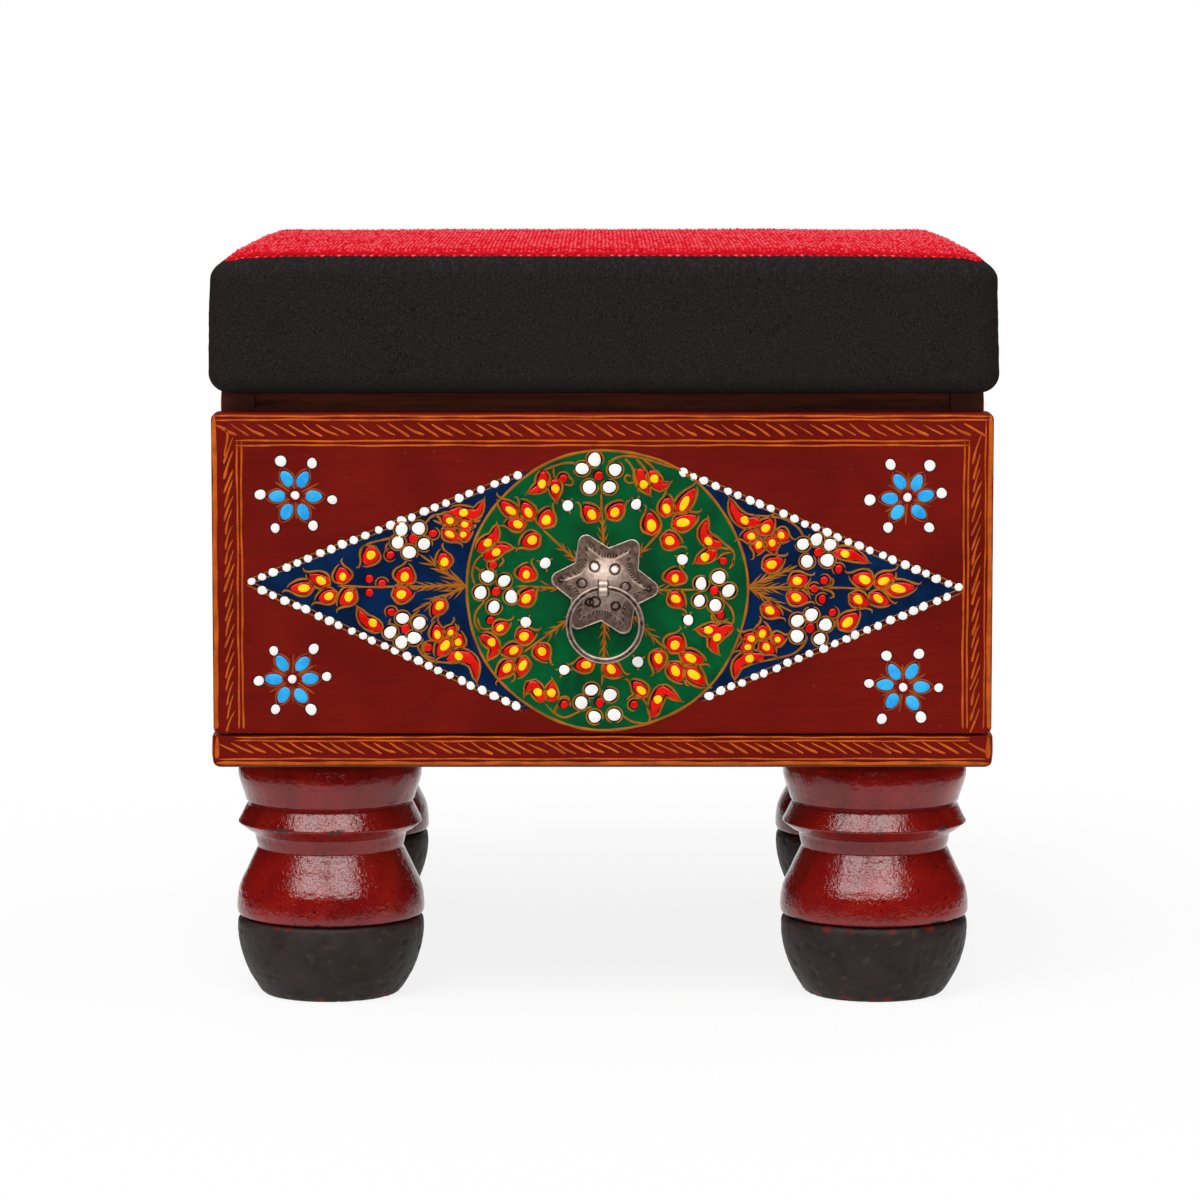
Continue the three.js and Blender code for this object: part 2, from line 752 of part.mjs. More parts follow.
// The top panel's rings as [inset, height], from its seam to near the middle, for a face that lies a
// distance under its outer face.
function crownRings(start, under) {
  const inwardShares = [0, 0.03, 0.1, 0.25, 0.55, 0.9];
  const reach = Math.min(cushionHalf, cushionDepth / 2) - start;
  return inwardShares.map((share) => [
    start + reach * share,
    cushionSeam + cushionCrown * (1 - (1 - share) ** 4) - under,
  ]);
}

function addTopCover() {
  const start = seamInset() + jointGap;
  const rings = [...crownRings(start, coverThickness).reverse(), ...crownRings(start, 0)];
  add("seat_top_cover", skinned(rings.map(([inset, z]) => cushionRing(inset, z)), false), redWeave);
}

function addFoam() {
  const under = coverThickness + jointGap;
  const side = bandSection(under).slice(-5);
  const floor = [[side[0][0], seatBoardTop + jointGap]];
  const crown = crownRings(seamInset() + jointGap, under).slice(1);
  const rings = [...floor, ...side, ...crown].map(([inset, z]) => cushionRing(inset, z));
  add("seat_foam", skinned(rings, false), foam);
}

function addSeatBoard() {
  const inset = cushionUnderRound + jointGap;
  const half = cushionHalf - inset;
  const y = [inset, cushionDepth - inset];
  const tip = carcassTop - railHeight + seatScrewLength + jointGap;
  const pilots = cornerPlaces.map(({ across, inward, x, y: face }) => screwBore(
    x - across * seatScrewInset,
    face + inward * seatScrewInset,
    [seatBoardFloor - cutOver, tip],
  ));
  add("seat_board", cut(block([-half, half], y, [seatBoardFloor, seatBoardTop]), pilots), paleWood);
}

// The whole stool

addLegs();
addBaseBoard();
addSidePanels();
addBackPanel();
addRail();
addCornerBlocks();
addDrawer();
addPull();
addSeatBoard();
addFoam();
addBorderCover();
addTopCover();

const frontReach = pivotDepth - ringWireRadius - eyeClearance - stapleThickness;
stool.position.y = -(frontReach + cushionDepth) / 2;

export default stool;
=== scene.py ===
"""A painted square stool: turned legs, a full-width drawer with a ring pull, and a padded woven seat."""

import cmath
import math
import random

import bpy
import numpy as np
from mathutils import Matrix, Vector, noise
from mathutils.kdtree import KDTree


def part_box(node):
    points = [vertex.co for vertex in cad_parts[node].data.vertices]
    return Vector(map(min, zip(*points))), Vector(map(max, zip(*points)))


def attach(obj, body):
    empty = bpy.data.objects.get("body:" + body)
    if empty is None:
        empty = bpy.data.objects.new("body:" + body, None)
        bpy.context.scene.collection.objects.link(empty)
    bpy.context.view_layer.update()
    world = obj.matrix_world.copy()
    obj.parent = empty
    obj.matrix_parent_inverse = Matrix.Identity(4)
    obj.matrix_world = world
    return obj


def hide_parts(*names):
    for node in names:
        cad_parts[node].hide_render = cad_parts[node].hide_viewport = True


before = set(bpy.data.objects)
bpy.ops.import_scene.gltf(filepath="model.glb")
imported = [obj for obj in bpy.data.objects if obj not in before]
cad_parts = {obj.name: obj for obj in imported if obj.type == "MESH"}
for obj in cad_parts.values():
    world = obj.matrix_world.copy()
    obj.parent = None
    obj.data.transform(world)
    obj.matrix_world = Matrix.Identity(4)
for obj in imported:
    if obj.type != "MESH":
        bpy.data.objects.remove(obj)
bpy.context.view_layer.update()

MM = 0.001
chance = random.Random(7)


def millimetres(node):
    """Lowest and highest corner of a CAD node, in millimetres."""
    low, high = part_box(node)
    return low / MM, high / MM


FRONT_LOW, FRONT_HIGH = millimetres("drawer_front")
BASE_LOW, BASE_HIGH = millimetres("base_board")
SEAT_LOW, SEAT_HIGH = millimetres("seat_border_cover")


# Colours and finishes


def tint(red, green, blue):
    """A screen colour from 0 to 255, as linear light."""
    shares = [v / 255 for v in (red, green, blue)]
    return (*[v / 12.92 if v <= 0.04045 else ((v + 0.055) / 1.055) ** 2.4 for v in shares], 1.0)


EVENLY = (1, 1, 1)


class Finish:
    """A material in the making. Its methods add a node and give back its output."""

    def __init__(self, name, **sockets):
        self.material = bpy.data.materials.new(name)
        self.material.use_nodes = True
        self.tree = self.material.node_tree
        self.shader = self.tree.nodes["Principled BSDF"]
        for socket, value in sockets.items():
            self.shader.inputs[socket.replace("_", " ")].default_value = value

    def node(self, kind, sockets=(), **settings):
        node = self.tree.nodes.new("ShaderNode" + kind)
        for key, value in settings.items():
            setattr(node, key, value)
        for key, value in dict(sockets).items():
            self.feed(node.inputs[key], value)
        return node

    def feed(self, socket, value):
        if isinstance(value, bpy.types.NodeSocket):
            self.tree.links.new(value, socket)
        else:
            socket.default_value = value

    def where(self, output="Object"):
        return self.node("TexCoord").outputs[output]

    def place(self, stretch=EVENLY):
        return self.node("Mapping", {"Vector": self.where(), "Scale": stretch}).outputs[0]

    def noise(self, scale, detail=4.0, stretch=EVENLY, rough=0.5, warp=0.0):
        sockets = {"Vector": self.place(stretch), "Scale": scale, "Detail": detail}
        sockets |= {"Roughness": rough, "Distortion": warp}
        return self.node("TexNoise", sockets).outputs["Fac"]

    def ramp(self, factor, *stops):
        node = self.node("ValToRGB", {"Fac": factor})
        elements = node.color_ramp.elements
        while len(elements) < len(stops):
            elements.new(0.5)
        for element, (position, colour) in zip(elements, stops):
            element.position = position
            element.color = colour if isinstance(colour, tuple) else (colour, colour, colour, 1)
        return node.outputs["Color"]

    def fade(self, factor, start, end, amount=1.0):
        """Nothing up to start, and the amount from end on."""
        return self.ramp(factor, (start, 0.0), (end, amount))

    def dots(self, scale, size, soft, amount=1.0):
        """Scattered round spots that end softly."""
        cells = self.node("TexVoronoi", {"Vector": self.place(), "Scale": scale})
        return self.ramp(cells.outputs["Distance"], (size, amount), (soft, 0.0))

    def mix(self, factor, a, b):
        node = self.node("Mix", data_type="RGBA")
        for index, value in zip((0, 6, 7), (factor, a, b)):
            self.feed(node.inputs[index], value)
        return node.outputs[2]

    def math(self, operation, a, b):
        return self.node("Math", {0: a, 1: b}, operation=operation).outputs[0]

    def mask(self, name):
        return self.node("Attribute", attribute_name=name).outputs["Fac"]

    def colour(self, value, share=None):
        """The body's colour or, with a share, one laid over the colours before it."""
        base = self.shader.inputs["Base Color"]
        self.feed(base, value if share is None else self.mix(share, base.links[0].from_socket, value))

    def roughness(self, value):
        self.feed(self.shader.inputs["Roughness"], value)

    def bump(self, height, distance, strength):
        before = self.shader.inputs["Normal"].links
        sockets = {"Height": height, "Distance": distance, "Strength": strength}
        if before:
            sockets["Normal"] = before[0].from_socket
        self.feed(self.shader.inputs["Normal"], self.node("Bump", sockets).outputs[0])


PALE = tint(176, 132, 88)
OAK = tint(140, 96, 58)
RAW = tint(120, 84, 56)
PULL_CENTRE = sum(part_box("pull_backplate"), Vector()) / 2


def grained(name, light, dark, run, roughness=0.7):
    """Bare wood, with its grain along one axis."""
    finish = Finish(name, Specular_IOR_Level=0.12)
    stretch = [0.06 if axis == run else 1.0 for axis in "XYZ"]
    grain = finish.noise(260, 6, stretch, 0.65, 0.6)
    broad = finish.noise(26, 3, stretch, 0.5, 1.2)
    both = finish.math("ADD", finish.math("MULTIPLY", grain, 0.6), finish.math("MULTIPLY", broad, 0.4))
    finish.colour(finish.ramp(both, (0.3, dark), (0.68, light)))
    finish.roughness(finish.ramp(grain, (0.3, roughness - 0.12), (0.7, roughness + 0.1)))
    finish.bump(grain, 0.0003, 0.5)
    return finish.material


def painted_wood(name, bare_axis, bare_side, bare=RAW):
    """Maroon paint on wood, with brush streaks, dust and rubbed spots. One side is left bare."""
    finish = Finish(name, Specular_IOR_Level=0.06)
    streaks = finish.noise(420, 5, (0.05, 0.05, 1), 0.6)
    clouds = finish.noise(16, 4, EVENLY, 0.6, 0.5)
    rubbed = finish.noise(55, 6, (0.5, 0.5, 1), 0.75)
    finish.colour(finish.ramp(clouds, (0.32, tint(102, 10, 2)), (0.66, tint(119, 15, 4))))
    finish.colour(tint(80, 6, 3), finish.fade(streaks, 0.42, 0.72, 0.3))
    finish.colour(tint(132, 34, 20), finish.fade(rubbed, 0.64, 0.8, 0.4))
    finish.colour(tint(168, 108, 92), finish.dots(110, 0.02, 0.035, 0.55))
    facing = finish.node("SeparateXYZ", {"Vector": finish.where("Normal")}).outputs[bare_axis]
    shown = finish.math("MULTIPLY", facing, float(bare_side))
    grain = finish.noise(240, 6, (0.08, 1, 1), 0.65, 0.5)
    finish.colour(finish.mix(grain, bare, tint(40, 19, 14)), finish.math("GREATER_THAN", shown, 0.6))
    finish.roughness(finish.ramp(clouds, (0.3, 0.4), (0.7, 0.55)))
    finish.bump(streaks, 0.00025, 0.5)
    return finish.material


def artist_paint(name, colour, other, roughness, scale, gloss, grime_and_shade_round_pull=False):
    """Thick water-based paint: its colour drifts a little and the brush leaves ridges."""
    finish = Finish(f"paint_{name}", Specular_IOR_Level=gloss)
    drift = finish.noise(scale, 4, EVENLY, 0.6, 0.4)
    finish.colour(finish.ramp(drift, (0.34, tint(*other)), (0.64, tint(*colour))))
    if grime_and_shade_round_pull:
        # Painted shade, with some grime: the green darkens in a ring round the pull plate.
        away = finish.node("VectorMath", {0: finish.where(), 1: PULL_CENTRE}, operation="DISTANCE")
        finish.colour(tint(8, 22, 12), finish.ramp(away.outputs["Value"], (0.02, 0.3), (0.034, 0.0)))
    finish.roughness(finish.ramp(drift, (0.3, roughness), (0.7, roughness + 0.15)))
    finish.bump(finish.noise(900, 3), 0.0002, 0.35)
    return finish.material


def red_lacquer():
    """Glossy maroon lacquer, uneven, pitted and finely rippled."""
    finish = Finish("red_lacquer", Specular_IOR_Level=0.5)
    clouds = finish.noise(38, 5, (1, 1, 0.6), 0.6, 0.8)
    turning = finish.noise(190, 4, (0.12, 0.12, 1), 0.6)
    pits = finish.dots(210, 0.08, 0.16)
    rare = finish.fade(finish.noise(60, 3), 0.42, 0.52)
    worn = finish.mask("wear")
    reds = (0.3, tint(98, 12, 11)), (0.52, tint(126, 17, 13)), (0.74, tint(144, 31, 17))
    finish.colour(finish.ramp(clouds, *reds))
    finish.colour(tint(86, 8, 6), finish.fade(turning, 0.5, 0.75, 0.35))
    finish.colour(tint(34, 6, 5), finish.math("MULTIPLY", pits, rare))
    finish.colour(tint(52, 20, 13), worn)
    finish.colour(tint(214, 150, 120), finish.math("MULTIPLY", finish.dots(420, 0.03, 0.05, 0.6), rare))
    gloss = finish.ramp(finish.noise(70, 4), (0.35, 0.05), (0.7, 0.1))
    finish.roughness(finish.mix(worn, gloss, (0.6, 0.6, 0.6, 1)))
    finish.bump(finish.noise(900, 2, EVENLY, 0.5, 0.8), 0.0004, 0.42)
    finish.bump(finish.noise(300, 2, EVENLY, 0.5, 0.6), 0.001, 0.32)
    finish.bump(finish.noise(75, 3, (1, 1, 1.4), 0.5, 1.2), 0.0015, 0.13)
    finish.bump(pits, 0.0005, -0.5)
    return finish.material


def black_paint():
    """Old satin black on the feet, scuffed brown, with dust in it and red showing at the seam."""
    finish = Finish("black_paint", Specular_IOR_Level=0.14)
    clouds = finish.noise(45, 6, EVENLY, 0.65, 0.4)
    finish.colour(finish.ramp(clouds, (0.32, tint(34, 27, 26)), (0.7, tint(58, 47, 46))))
    finish.colour(tint(86, 64, 54), finish.fade(finish.noise(180, 6, EVENLY, 0.78), 0.6, 0.7, 0.36))
    finish.colour(tint(132, 106, 94), finish.dots(260, 0.035, 0.06, 0.75))
    finish.colour(tint(68, 51, 44), finish.mask("scuff"))
    finish.colour(tint(104, 28, 18), finish.mask("wear"))
    finish.roughness(finish.ramp(clouds, (0.3, 0.42), (0.7, 0.6)))
    finish.bump(finish.noise(210, 5, EVENLY, 0.6), 0.0006, 0.45)
    return finish.material


def aged_silver():
    """Stamped white metal: rubbed bright where it stands out, brown where it doesn't. The same mask also
    carries painted highlights and shade.
    """
    finish = Finish("aged_silver", Metallic=0.7, Specular_IOR_Level=0.5)
    grime = finish.math("SUBTRACT", finish.noise(420, 5, EVENLY, 0.65, 0.3), 0.5)
    edge = finish.math("ADD", finish.mask("polish"), finish.math("MULTIPLY", grime, 0.6))
    brown, dull = (0.05, tint(36, 20, 12)), (0.28, tint(136, 110, 96))
    plain, bright = (0.6, tint(196, 176, 163)), (0.9, tint(252, 240, 232))
    finish.colour(finish.ramp(edge, brown, dull, plain, bright))
    finish.roughness(finish.ramp(edge, (0.1, 0.62), (0.62, 0.54), (0.95, 0.28)))
    finish.bump(finish.noise(900, 3), 0.0002, 0.4)
    return finish.material


def steel():
    finish = Finish("steel", Metallic=1.0, Base_Color=tint(150, 150, 152))
    finish.roughness(finish.ramp(finish.noise(500, 3), (0.3, 0.3), (0.7, 0.5)))
    return finish.material


def black_cloth():
    """Black drill: fine upright ribs, faded here and there, with lint, and a painted sheen on the gathered
    folds under the seam.
    """
    finish = Finish("black_cloth", Specular_IOR_Level=0.05, Roughness=0.9)
    ribs = finish.noise(3000, 2, (1, 1, 0.3), 0.7)
    # Painted sheen: lighter upright streaks on the gathered folds under the seam.
    gather_sheen = finish.fade(finish.noise(760, 3, (1, 1, 0.07), 0.6), 0.48, 0.68, 0.28)
    finish.colour(finish.ramp(ribs, (0.36, tint(14, 12, 12)), (0.64, tint(48, 42, 41))))
    finish.colour(tint(46, 42, 41), finish.fade(finish.noise(30, 4, EVENLY, 0.6), 0.4, 0.7, 0.15))
    finish.colour(tint(78, 73, 72), finish.math("MULTIPLY", gather_sheen, finish.mask("seam")))
    finish.colour(tint(104, 96, 92), finish.dots(420, 0.03, 0.05, 0.4))
    finish.bump(ribs, 0.0006, 0.8)
    return finish.material


def red_weave():
    """Coarse red weave: each yarn has its own red. Its colour follows the weave's height, so the crests
    carry painted highlights and the gaps painted shade.
    """
    finish = Finish("red_weave", Specular_IOR_Level=0.05, Roughness=0.85)
    fibres = finish.noise(1500, 4, EVENLY, 0.7)
    deep, low = (0.1, tint(104, 0, 6)), (0.36, tint(202, 2, 20))
    high, crest = (0.66, tint(236, 22, 42)), (0.95, tint(255, 120, 130))
    finish.colour(finish.ramp(finish.mask("yarn"), deep, low, high, crest))
    finish.colour(tint(255, 116, 126), finish.fade(fibres, 0.6, 0.8, 0.35))
    finish.bump(fibres, 0.0006, 0.6)
    return finish.material


# Each paint has its colour, a second one that it drifts to, roughness, scale of the drift and gloss; the
# green also darkens round the pull, as painted shade and grime.
PAINTS = {
    "ochre": ((206, 94, 12), (164, 68, 8), 0.4, 90, 0.1),
    "gold": ((176, 104, 14), (140, 78, 8), 0.4, 90, 0.1),
    "umber": ((164, 74, 20), (128, 52, 12), 0.4, 90, 0.1),
    "white": ((252, 251, 249), (242, 239, 235), 0.25, 120, 0.3),
    "red": ((232, 14, 0), (204, 4, 0), 0.16, 120, 0.22),
    "yellow": ((255, 224, 0), (250, 196, 0), 0.2, 120, 0.2),
    "sky": ((52, 184, 242), (16, 150, 228), 0.3, 120, 0.2),
    "green": ((0, 90, 44), (0, 68, 36), 0.45, 60, 0.04, True),
    "blue": ((1, 35, 76), (0, 22, 52), 0.45, 60, 0.04),
    "shade": ((24, 9, 8), (12, 6, 6), 0.5, 120, 0.05),
}
COATS = {name: artist_paint(name, *paint) for name, paint in PAINTS.items()}


# Pieces


def put(name, data):
    """A new object in the scene."""
    thing = bpy.data.objects.new(name, data)
    bpy.context.scene.collection.objects.link(thing)
    return thing


def mesh_of(name, points, faces):
    mesh = bpy.data.meshes.new(name)
    mesh.from_pydata([tuple(point) for point in points], [], faces)
    return mesh


def skin(name, vertices, faces, material, body, slot, **masks):
    """A smooth mesh in place, riding on a body of the stool, with a value of each mask at each vertex."""
    mesh = mesh_of(name, vertices, faces)
    mesh.polygons.foreach_set("use_smooth", [True] * len(mesh.polygons))
    for mask, values in masks.items():
        mesh.attributes.new(mask, "FLOAT", "POINT").data.foreach_set("value", values)
    mesh.materials.append(material)
    mesh.validate()
    piece = put(name, mesh)
    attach(piece, body)
    return piece


def net(rows, columns, wrap_rows=False, wrap_columns=False, start=0):
    """Four-sided faces of a grid of points, counted row by row."""
    faces = []
    for i in range(rows if wrap_rows else rows - 1):
        for j in range(columns if wrap_columns else columns - 1):
            a, b = i * columns, ((i + 1) % rows) * columns
            k = (j + 1) % columns
            faces.append((start + a + j, start + a + k, start + b + k, start + b + j))
    return faces


def capped(rows, columns, turned_out=False):
    """Faces of a net that closes round, with a lid on each end."""
    last = (rows - 1) * columns
    lids = [tuple(reversed(range(columns))), tuple(range(last, last + columns))]
    faces = net(rows, columns, False, True) + lids
    return [face[::-1] for face in faces] if turned_out else faces


# Hand painting. Points on a face are complex numbers in millimetres, across plus up times 1j.

# Lifts off the face: a stroke's ridge, and the two flat coats. Paint starts a little below its ground.
RIDGE = 0.36
BLUE_COAT = 0.14
GREEN_COAT = 0.26
SUNK = 0.05
# The dark coat under each dab shows at its upper left: partly a dark edge in the paint, partly painted
# shade.
SHADE_FALL = complex(-0.35, 0.35)


def turn_of(degrees):
    return cmath.rect(1, math.radians(degrees))


def along(*points, step=1.2):
    """A smooth path through points, millimetres apart by about the step."""
    ends = [2 * points[0] - points[1], *points, 2 * points[-1] - points[-2]]
    path = []
    for a, b, c, d in zip(ends, ends[1:], ends[2:], ends[3:]):
        count = max(2, round(abs(c - b) / step))
        for k in range(count):
            t = k / count
            cubic = 2 * b + (c - a) * t + (2 * a - 5 * b + 4 * c - d) * t**2 + (3 * b - a - 3 * c + d) * t**3
            path.append(cubic / 2)
    return [*path, points[-1]]


def freehand(start, end, sway=0.16, step=4.0):
    """A long straight line as a steady hand draws it."""
    count = max(2, round(abs(end - start) / step))
    across = 1j * (end - start) / abs(end - start)
    phases = [chance.uniform(0, math.tau) for _ in range(2)]
    path = []
    for k in range(count + 1):
        run = abs(end - start) * k / count
        drift = math.sin(run / 11 + phases[0]) + 0.6 * math.sin(run / 4.3 + phases[1])
        path.append(start + (end - start) * k / count + across * sway * drift)
    return path


def oval(at, length, width, turn=0.0, start=0.0, sweep=360.0, step=1.2):
    """Points on an oval, or on a part of it."""
    count = max(8, round(math.radians(abs(sweep)) * (length + width) / 4 / step))
    path = []
    for k in range(count + 1 if abs(sweep) < 360 else count):
        angle = math.radians(start + sweep * k / count)
        path.append(at + turn_of(turn) * complex(length * math.cos(angle), width * math.sin(angle)) / 2)
    return path


# How a stroke's width changes from its start, 0, to its end, 1


def even(t):
    return 1.0


def heavy_end(t):
    return 0.66 + 0.72 * t


def thin_end(t):
    return 1 - 0.7 * t**9


def heavy_root(t):
    return 1.5 - 0.65 * t**0.6


def leaf(t):
    return max(0.06, math.sin(math.pi * t**0.72)) ** 0.72


class Brush:
    """Lays raised paint on one face of the stool. A brush that was moved works in a frame of its own."""

    def __init__(self, face, coats, placed=lambda point: point, ground=0.0):
        self.face = face
        self.coats = coats
        self.placed = placed
        self.ground = ground

    def moved(self, to=0j, turn=0.0, ground=None):
        def placed(point):
            return self.placed(to + turn_of(turn) * point)

        return Brush(self.face, self.coats, placed, self.ground if ground is None else ground)

    def lay(self, colour, rings, closed_ring, closed_run=False):
        """A skin of paint over rings of points, each with its lift off the face."""
        vertices, faces = self.coats.setdefault(colour, ([], []))
        start = len(vertices)
        for ring in rings:
            vertices.extend(self.face(self.placed(point), lift) for point, lift in ring)
        count = len(rings[0])
        faces.extend(net(len(rings), count, closed_run, closed_ring, start))
        ends = [len(rings) - 1] if closed_ring else [] if closed_run else [0, len(rings) - 1]
        faces.extend(tuple(range(start + end * count, start + (end + 1) * count)) for end in ends)

    def stroke(self, colour, path, width=0.95, rise=RIDGE, closed=False, ends=0.4, shape=even, flat=0.55):
        """A line of paint. Its width swells and thins a little, and its ends are round."""
        last = len(path) - 1
        phase = chance.uniform(0, math.tau)
        low = self.ground - SUNK
        sections = []
        for i, point in enumerate(path):
            ahead = path[(i + 1) % len(path)] if closed else path[min(i + 1, last)]
            behind = path[i - 1] if closed else path[max(i - 1, 0)]
            across = 1j * (ahead - behind) / (abs(ahead - behind) or 1)
            tip = ends if not closed and i in (0, last) else 1
            half = width / 2 * shape(i / last) * tip * (1 + 0.13 * math.sin(i * 0.9 + phase))
            top = self.ground + rise * tip
            edges = ((1, low), (flat, top), (-flat, top), (-1, low))
            sections.append([(point + across * half * share, lift) for share, lift in edges])
        self.lay(colour, sections, False, closed)

    def dab(self, colour, at, length, width, turn=0.0, egg=0.0, rise=0.3, steep=2.0, points=18):
        """A drop of paint, domed or nearly flat. An egg is narrower at its outer end."""
        phase = chance.uniform(0, math.tau)
        rings = []
        for share in (1.0, 0.93, 0.8, 0.5, 0.2):
            lift = self.ground - SUNK + (rise + SUNK) * math.sqrt(1 - share**steep)
            ring = []
            for k in range(points):
                angle = math.tau * k / points
                uneven = 1 + 0.035 * math.sin(2 * angle + phase) + 0.02 * math.sin(3 * angle + 2 * phase)
                squeezed = width * math.sin(angle) * (1 - egg * math.cos(angle))
                offset = complex(length * math.cos(angle), squeezed) / 2 * share * uneven
                ring.append((at + turn_of(turn) * offset, lift))
            rings.append(ring)
        self.lay(colour, rings, True)

    def field(self, colour, outline, lift):
        """A flat coat inside an outline."""
        middle = sum(outline) / len(outline)
        rings = [[(p, 0.0) for p in outline]]
        for share in (0.999, 0.99, 0.66, 0.33):
            rings.append([(middle + (p - middle) * share, lift) for p in outline])
        self.lay(colour, rings, True)


def hang(name, coats, body, outward):
    """Turns the coats of one face into pieces, one for each colour."""
    for colour, (vertices, faces) in coats.items():
        points = np.array([tuple(v) for v in vertices])
        kept = []
        for face in faces:
            a, b, c = (points[face[k]] for k in (0, len(face) // 3, 2 * len(face) // 3))
            kept.append(face if np.dot(np.cross(b - a, c - a), outward) > 0 else face[::-1])
        skin(f"{name}_{colour}", vertices, kept, COATS[colour], body, "painted_wood")


def rolled(past, radius):
    """How far a rounded edge has dropped back, a distance past where it starts to turn."""
    past = min(max(past, 0.0), radius * 0.97)
    return radius - math.sqrt(radius**2 - past**2)


FRONT_EDGE = 1.2
BASE_EDGE = 4.5
BASE_CORNER = 2.0


def side_of(low, high, turn, foot=0.0, corner=0.0, brow=0.0):
    """A painter's view of one upright side of a box: 0 is the front, 90 the right side, 180 the back.

    Its lower edge, its corners and its upper edge are rounded by the radii given.
    """
    middle = (low + high) / 2
    reach = (high - low) / 2
    spin = turn_of(turn)
    half, depth = (reach.x, reach.y) if turn % 180 == 0 else (reach.y, reach.x)

    def face(point, lift):
        back = rolled(low.z + foot - point.imag, foot)
        back += rolled(abs(point.real) - (half - corner), corner)
        back += rolled(point.imag - (high.z - brow), brow)
        spot = spin * complex(point.real, -(depth + lift - back))
        return Vector((middle.x + spot.real, middle.y + spot.imag, point.imag)) * MM

    outward = spin * -1j
    return face, half, np.array([outward.real, outward.imag, 0.0])


HATCH_PITCH = 6.9
BROAD_LINE = 2.3


def hatch(brush, start, end, slant):
    """Slanting strokes in a row, each with a slight bend and a heavier lower end."""
    count = int(abs(end - start) / HATCH_PITCH)
    for k in range(count):
        root = start + (end - start) * (k + 0.5 + chance.uniform(-0.12, 0.12)) / count
        reach = slant * chance.uniform(0.9, 1.1) * turn_of(chance.uniform(-4, 4))
        bend = 1j * reach / abs(reach) * chance.uniform(-0.7, 0.2)
        path = along(root - reach / 2, root + bend, root + reach / 2, step=2.2)
        brush.stroke("ochre", path, chance.uniform(0.85, 1.2), ends=0.55, shape=heavy_end)


def upright_lines(brush, places, floor, top, width=1.0):
    for x in places:
        brush.stroke("ochre", freehand(complex(x, floor), complex(x, top)), width)


def level_lines(brush, places, left, right, width=1.0):
    for z in places:
        brush.stroke("ochre", freehand(complex(left, z), complex(right, z)), width)


def border(brush, half, floor, top):
    """The frame of lines and hatching on an upright panel, placed from its edges."""
    level_lines(brush, (top - 1.5, top - 3.3), 1.5 - half, half - 1.5)
    level_lines(brush, (top - 13.5, top - 15.7), 11.6 - half, half - 11.6)
    upright_lines(brush, (12.6 - half, 14.6 - half, half - 14.3, half - 12.2), floor, top - 13.0)
    upright_lines(brush, (1.6 - half, half - 1.6), floor, top - 1.0, BROAD_LINE)
    upright_lines(brush, (half - 3.9,), floor, top - 3.0, 0.8)
    hatch(brush, complex(3.5 - half, top - 8.1), complex(half - 5.0, top - 8.1), 9.8 - 5.6j)
    for x in (8.4 - half, half - 8.2):
        hatch(brush, complex(x, top - 15), complex(x, floor + 3), -4.2 - 12.8j)
    bend = (complex(2.8 - half, top - 5.9), complex(8 - half, top - 9.4), complex(6.4 - half, top - 21))
    brush.stroke("ochre", along(*bend, step=2), 1.2)


def base_strip(brush, half):
    """The lines and hatching round the base board's edge."""
    floor, top = BASE_LOW.z, BASE_HIGH.z
    level_lines(brush, (top - 0.7, top - 2.5), 11 - half, half - 11, 0.85)
    level_lines(brush, (floor + 4.6,), 3 - half, half - 3, 0.85)
    level_lines(brush, (floor + 2.4,), 2 - half, half - 2, 1.7)
    upright_lines(brush, (2.1 - half, half - 2.1), floor + 2, top - 0.3, BROAD_LINE)
    hatch(brush, complex(4 - half, top - 5.9), complex(half - 4, top - 5.9), 10.4 - 5.4j)


def floret(brush, at, size=1.0, turn=0.0):
    """Six sky-blue petals round a white dot, with a white dot past each petal."""
    brush = brush.moved(at, turn)
    brush.dab("white", 0j, 4.2 * size, 4.2 * size, rise=0.55, steep=4)
    for k in range(6):
        out = turn_of(60 * k + chance.uniform(-6, 6))
        lean = math.degrees(cmath.phase(out))
        own = brush.moved(out * chance.uniform(8.5, 9.2) * size, lean)
        for hand in (-1, 1):
            edge = [complex(x, z * hand) * size for x, z in ((-5.2, 0.5), (-1, 3.5), (3.2, 2.6), (6.2, 0))]
            own.stroke("umber", along(*edge), 0.75, rise=0.2, shape=thin_end)
        own.dab("sky", 0j, 8.4 * size, 5.7 * size, chance.uniform(-8, 8), 0.08, 0.46, 5)
        dot = chance.uniform(4.6, 5.8) * size
        place = out * turn_of(chance.uniform(-5, 5)) * chance.uniform(16.0, 18.9) * size
        brush.dab("shade", place, dot + 0.8, dot + 0.7, 0, 0, 0.12, 6)
        brush.dab("white", place, dot, dot * 0.95, lean, 0, 0.55, 4)
        ray = out * turn_of(30) * size
        spoke = along(ray * 3.2, ray * 8, ray * chance.uniform(11, 13.4))
        brush.stroke("umber", spoke, 0.9, rise=0.22, shape=heavy_root)


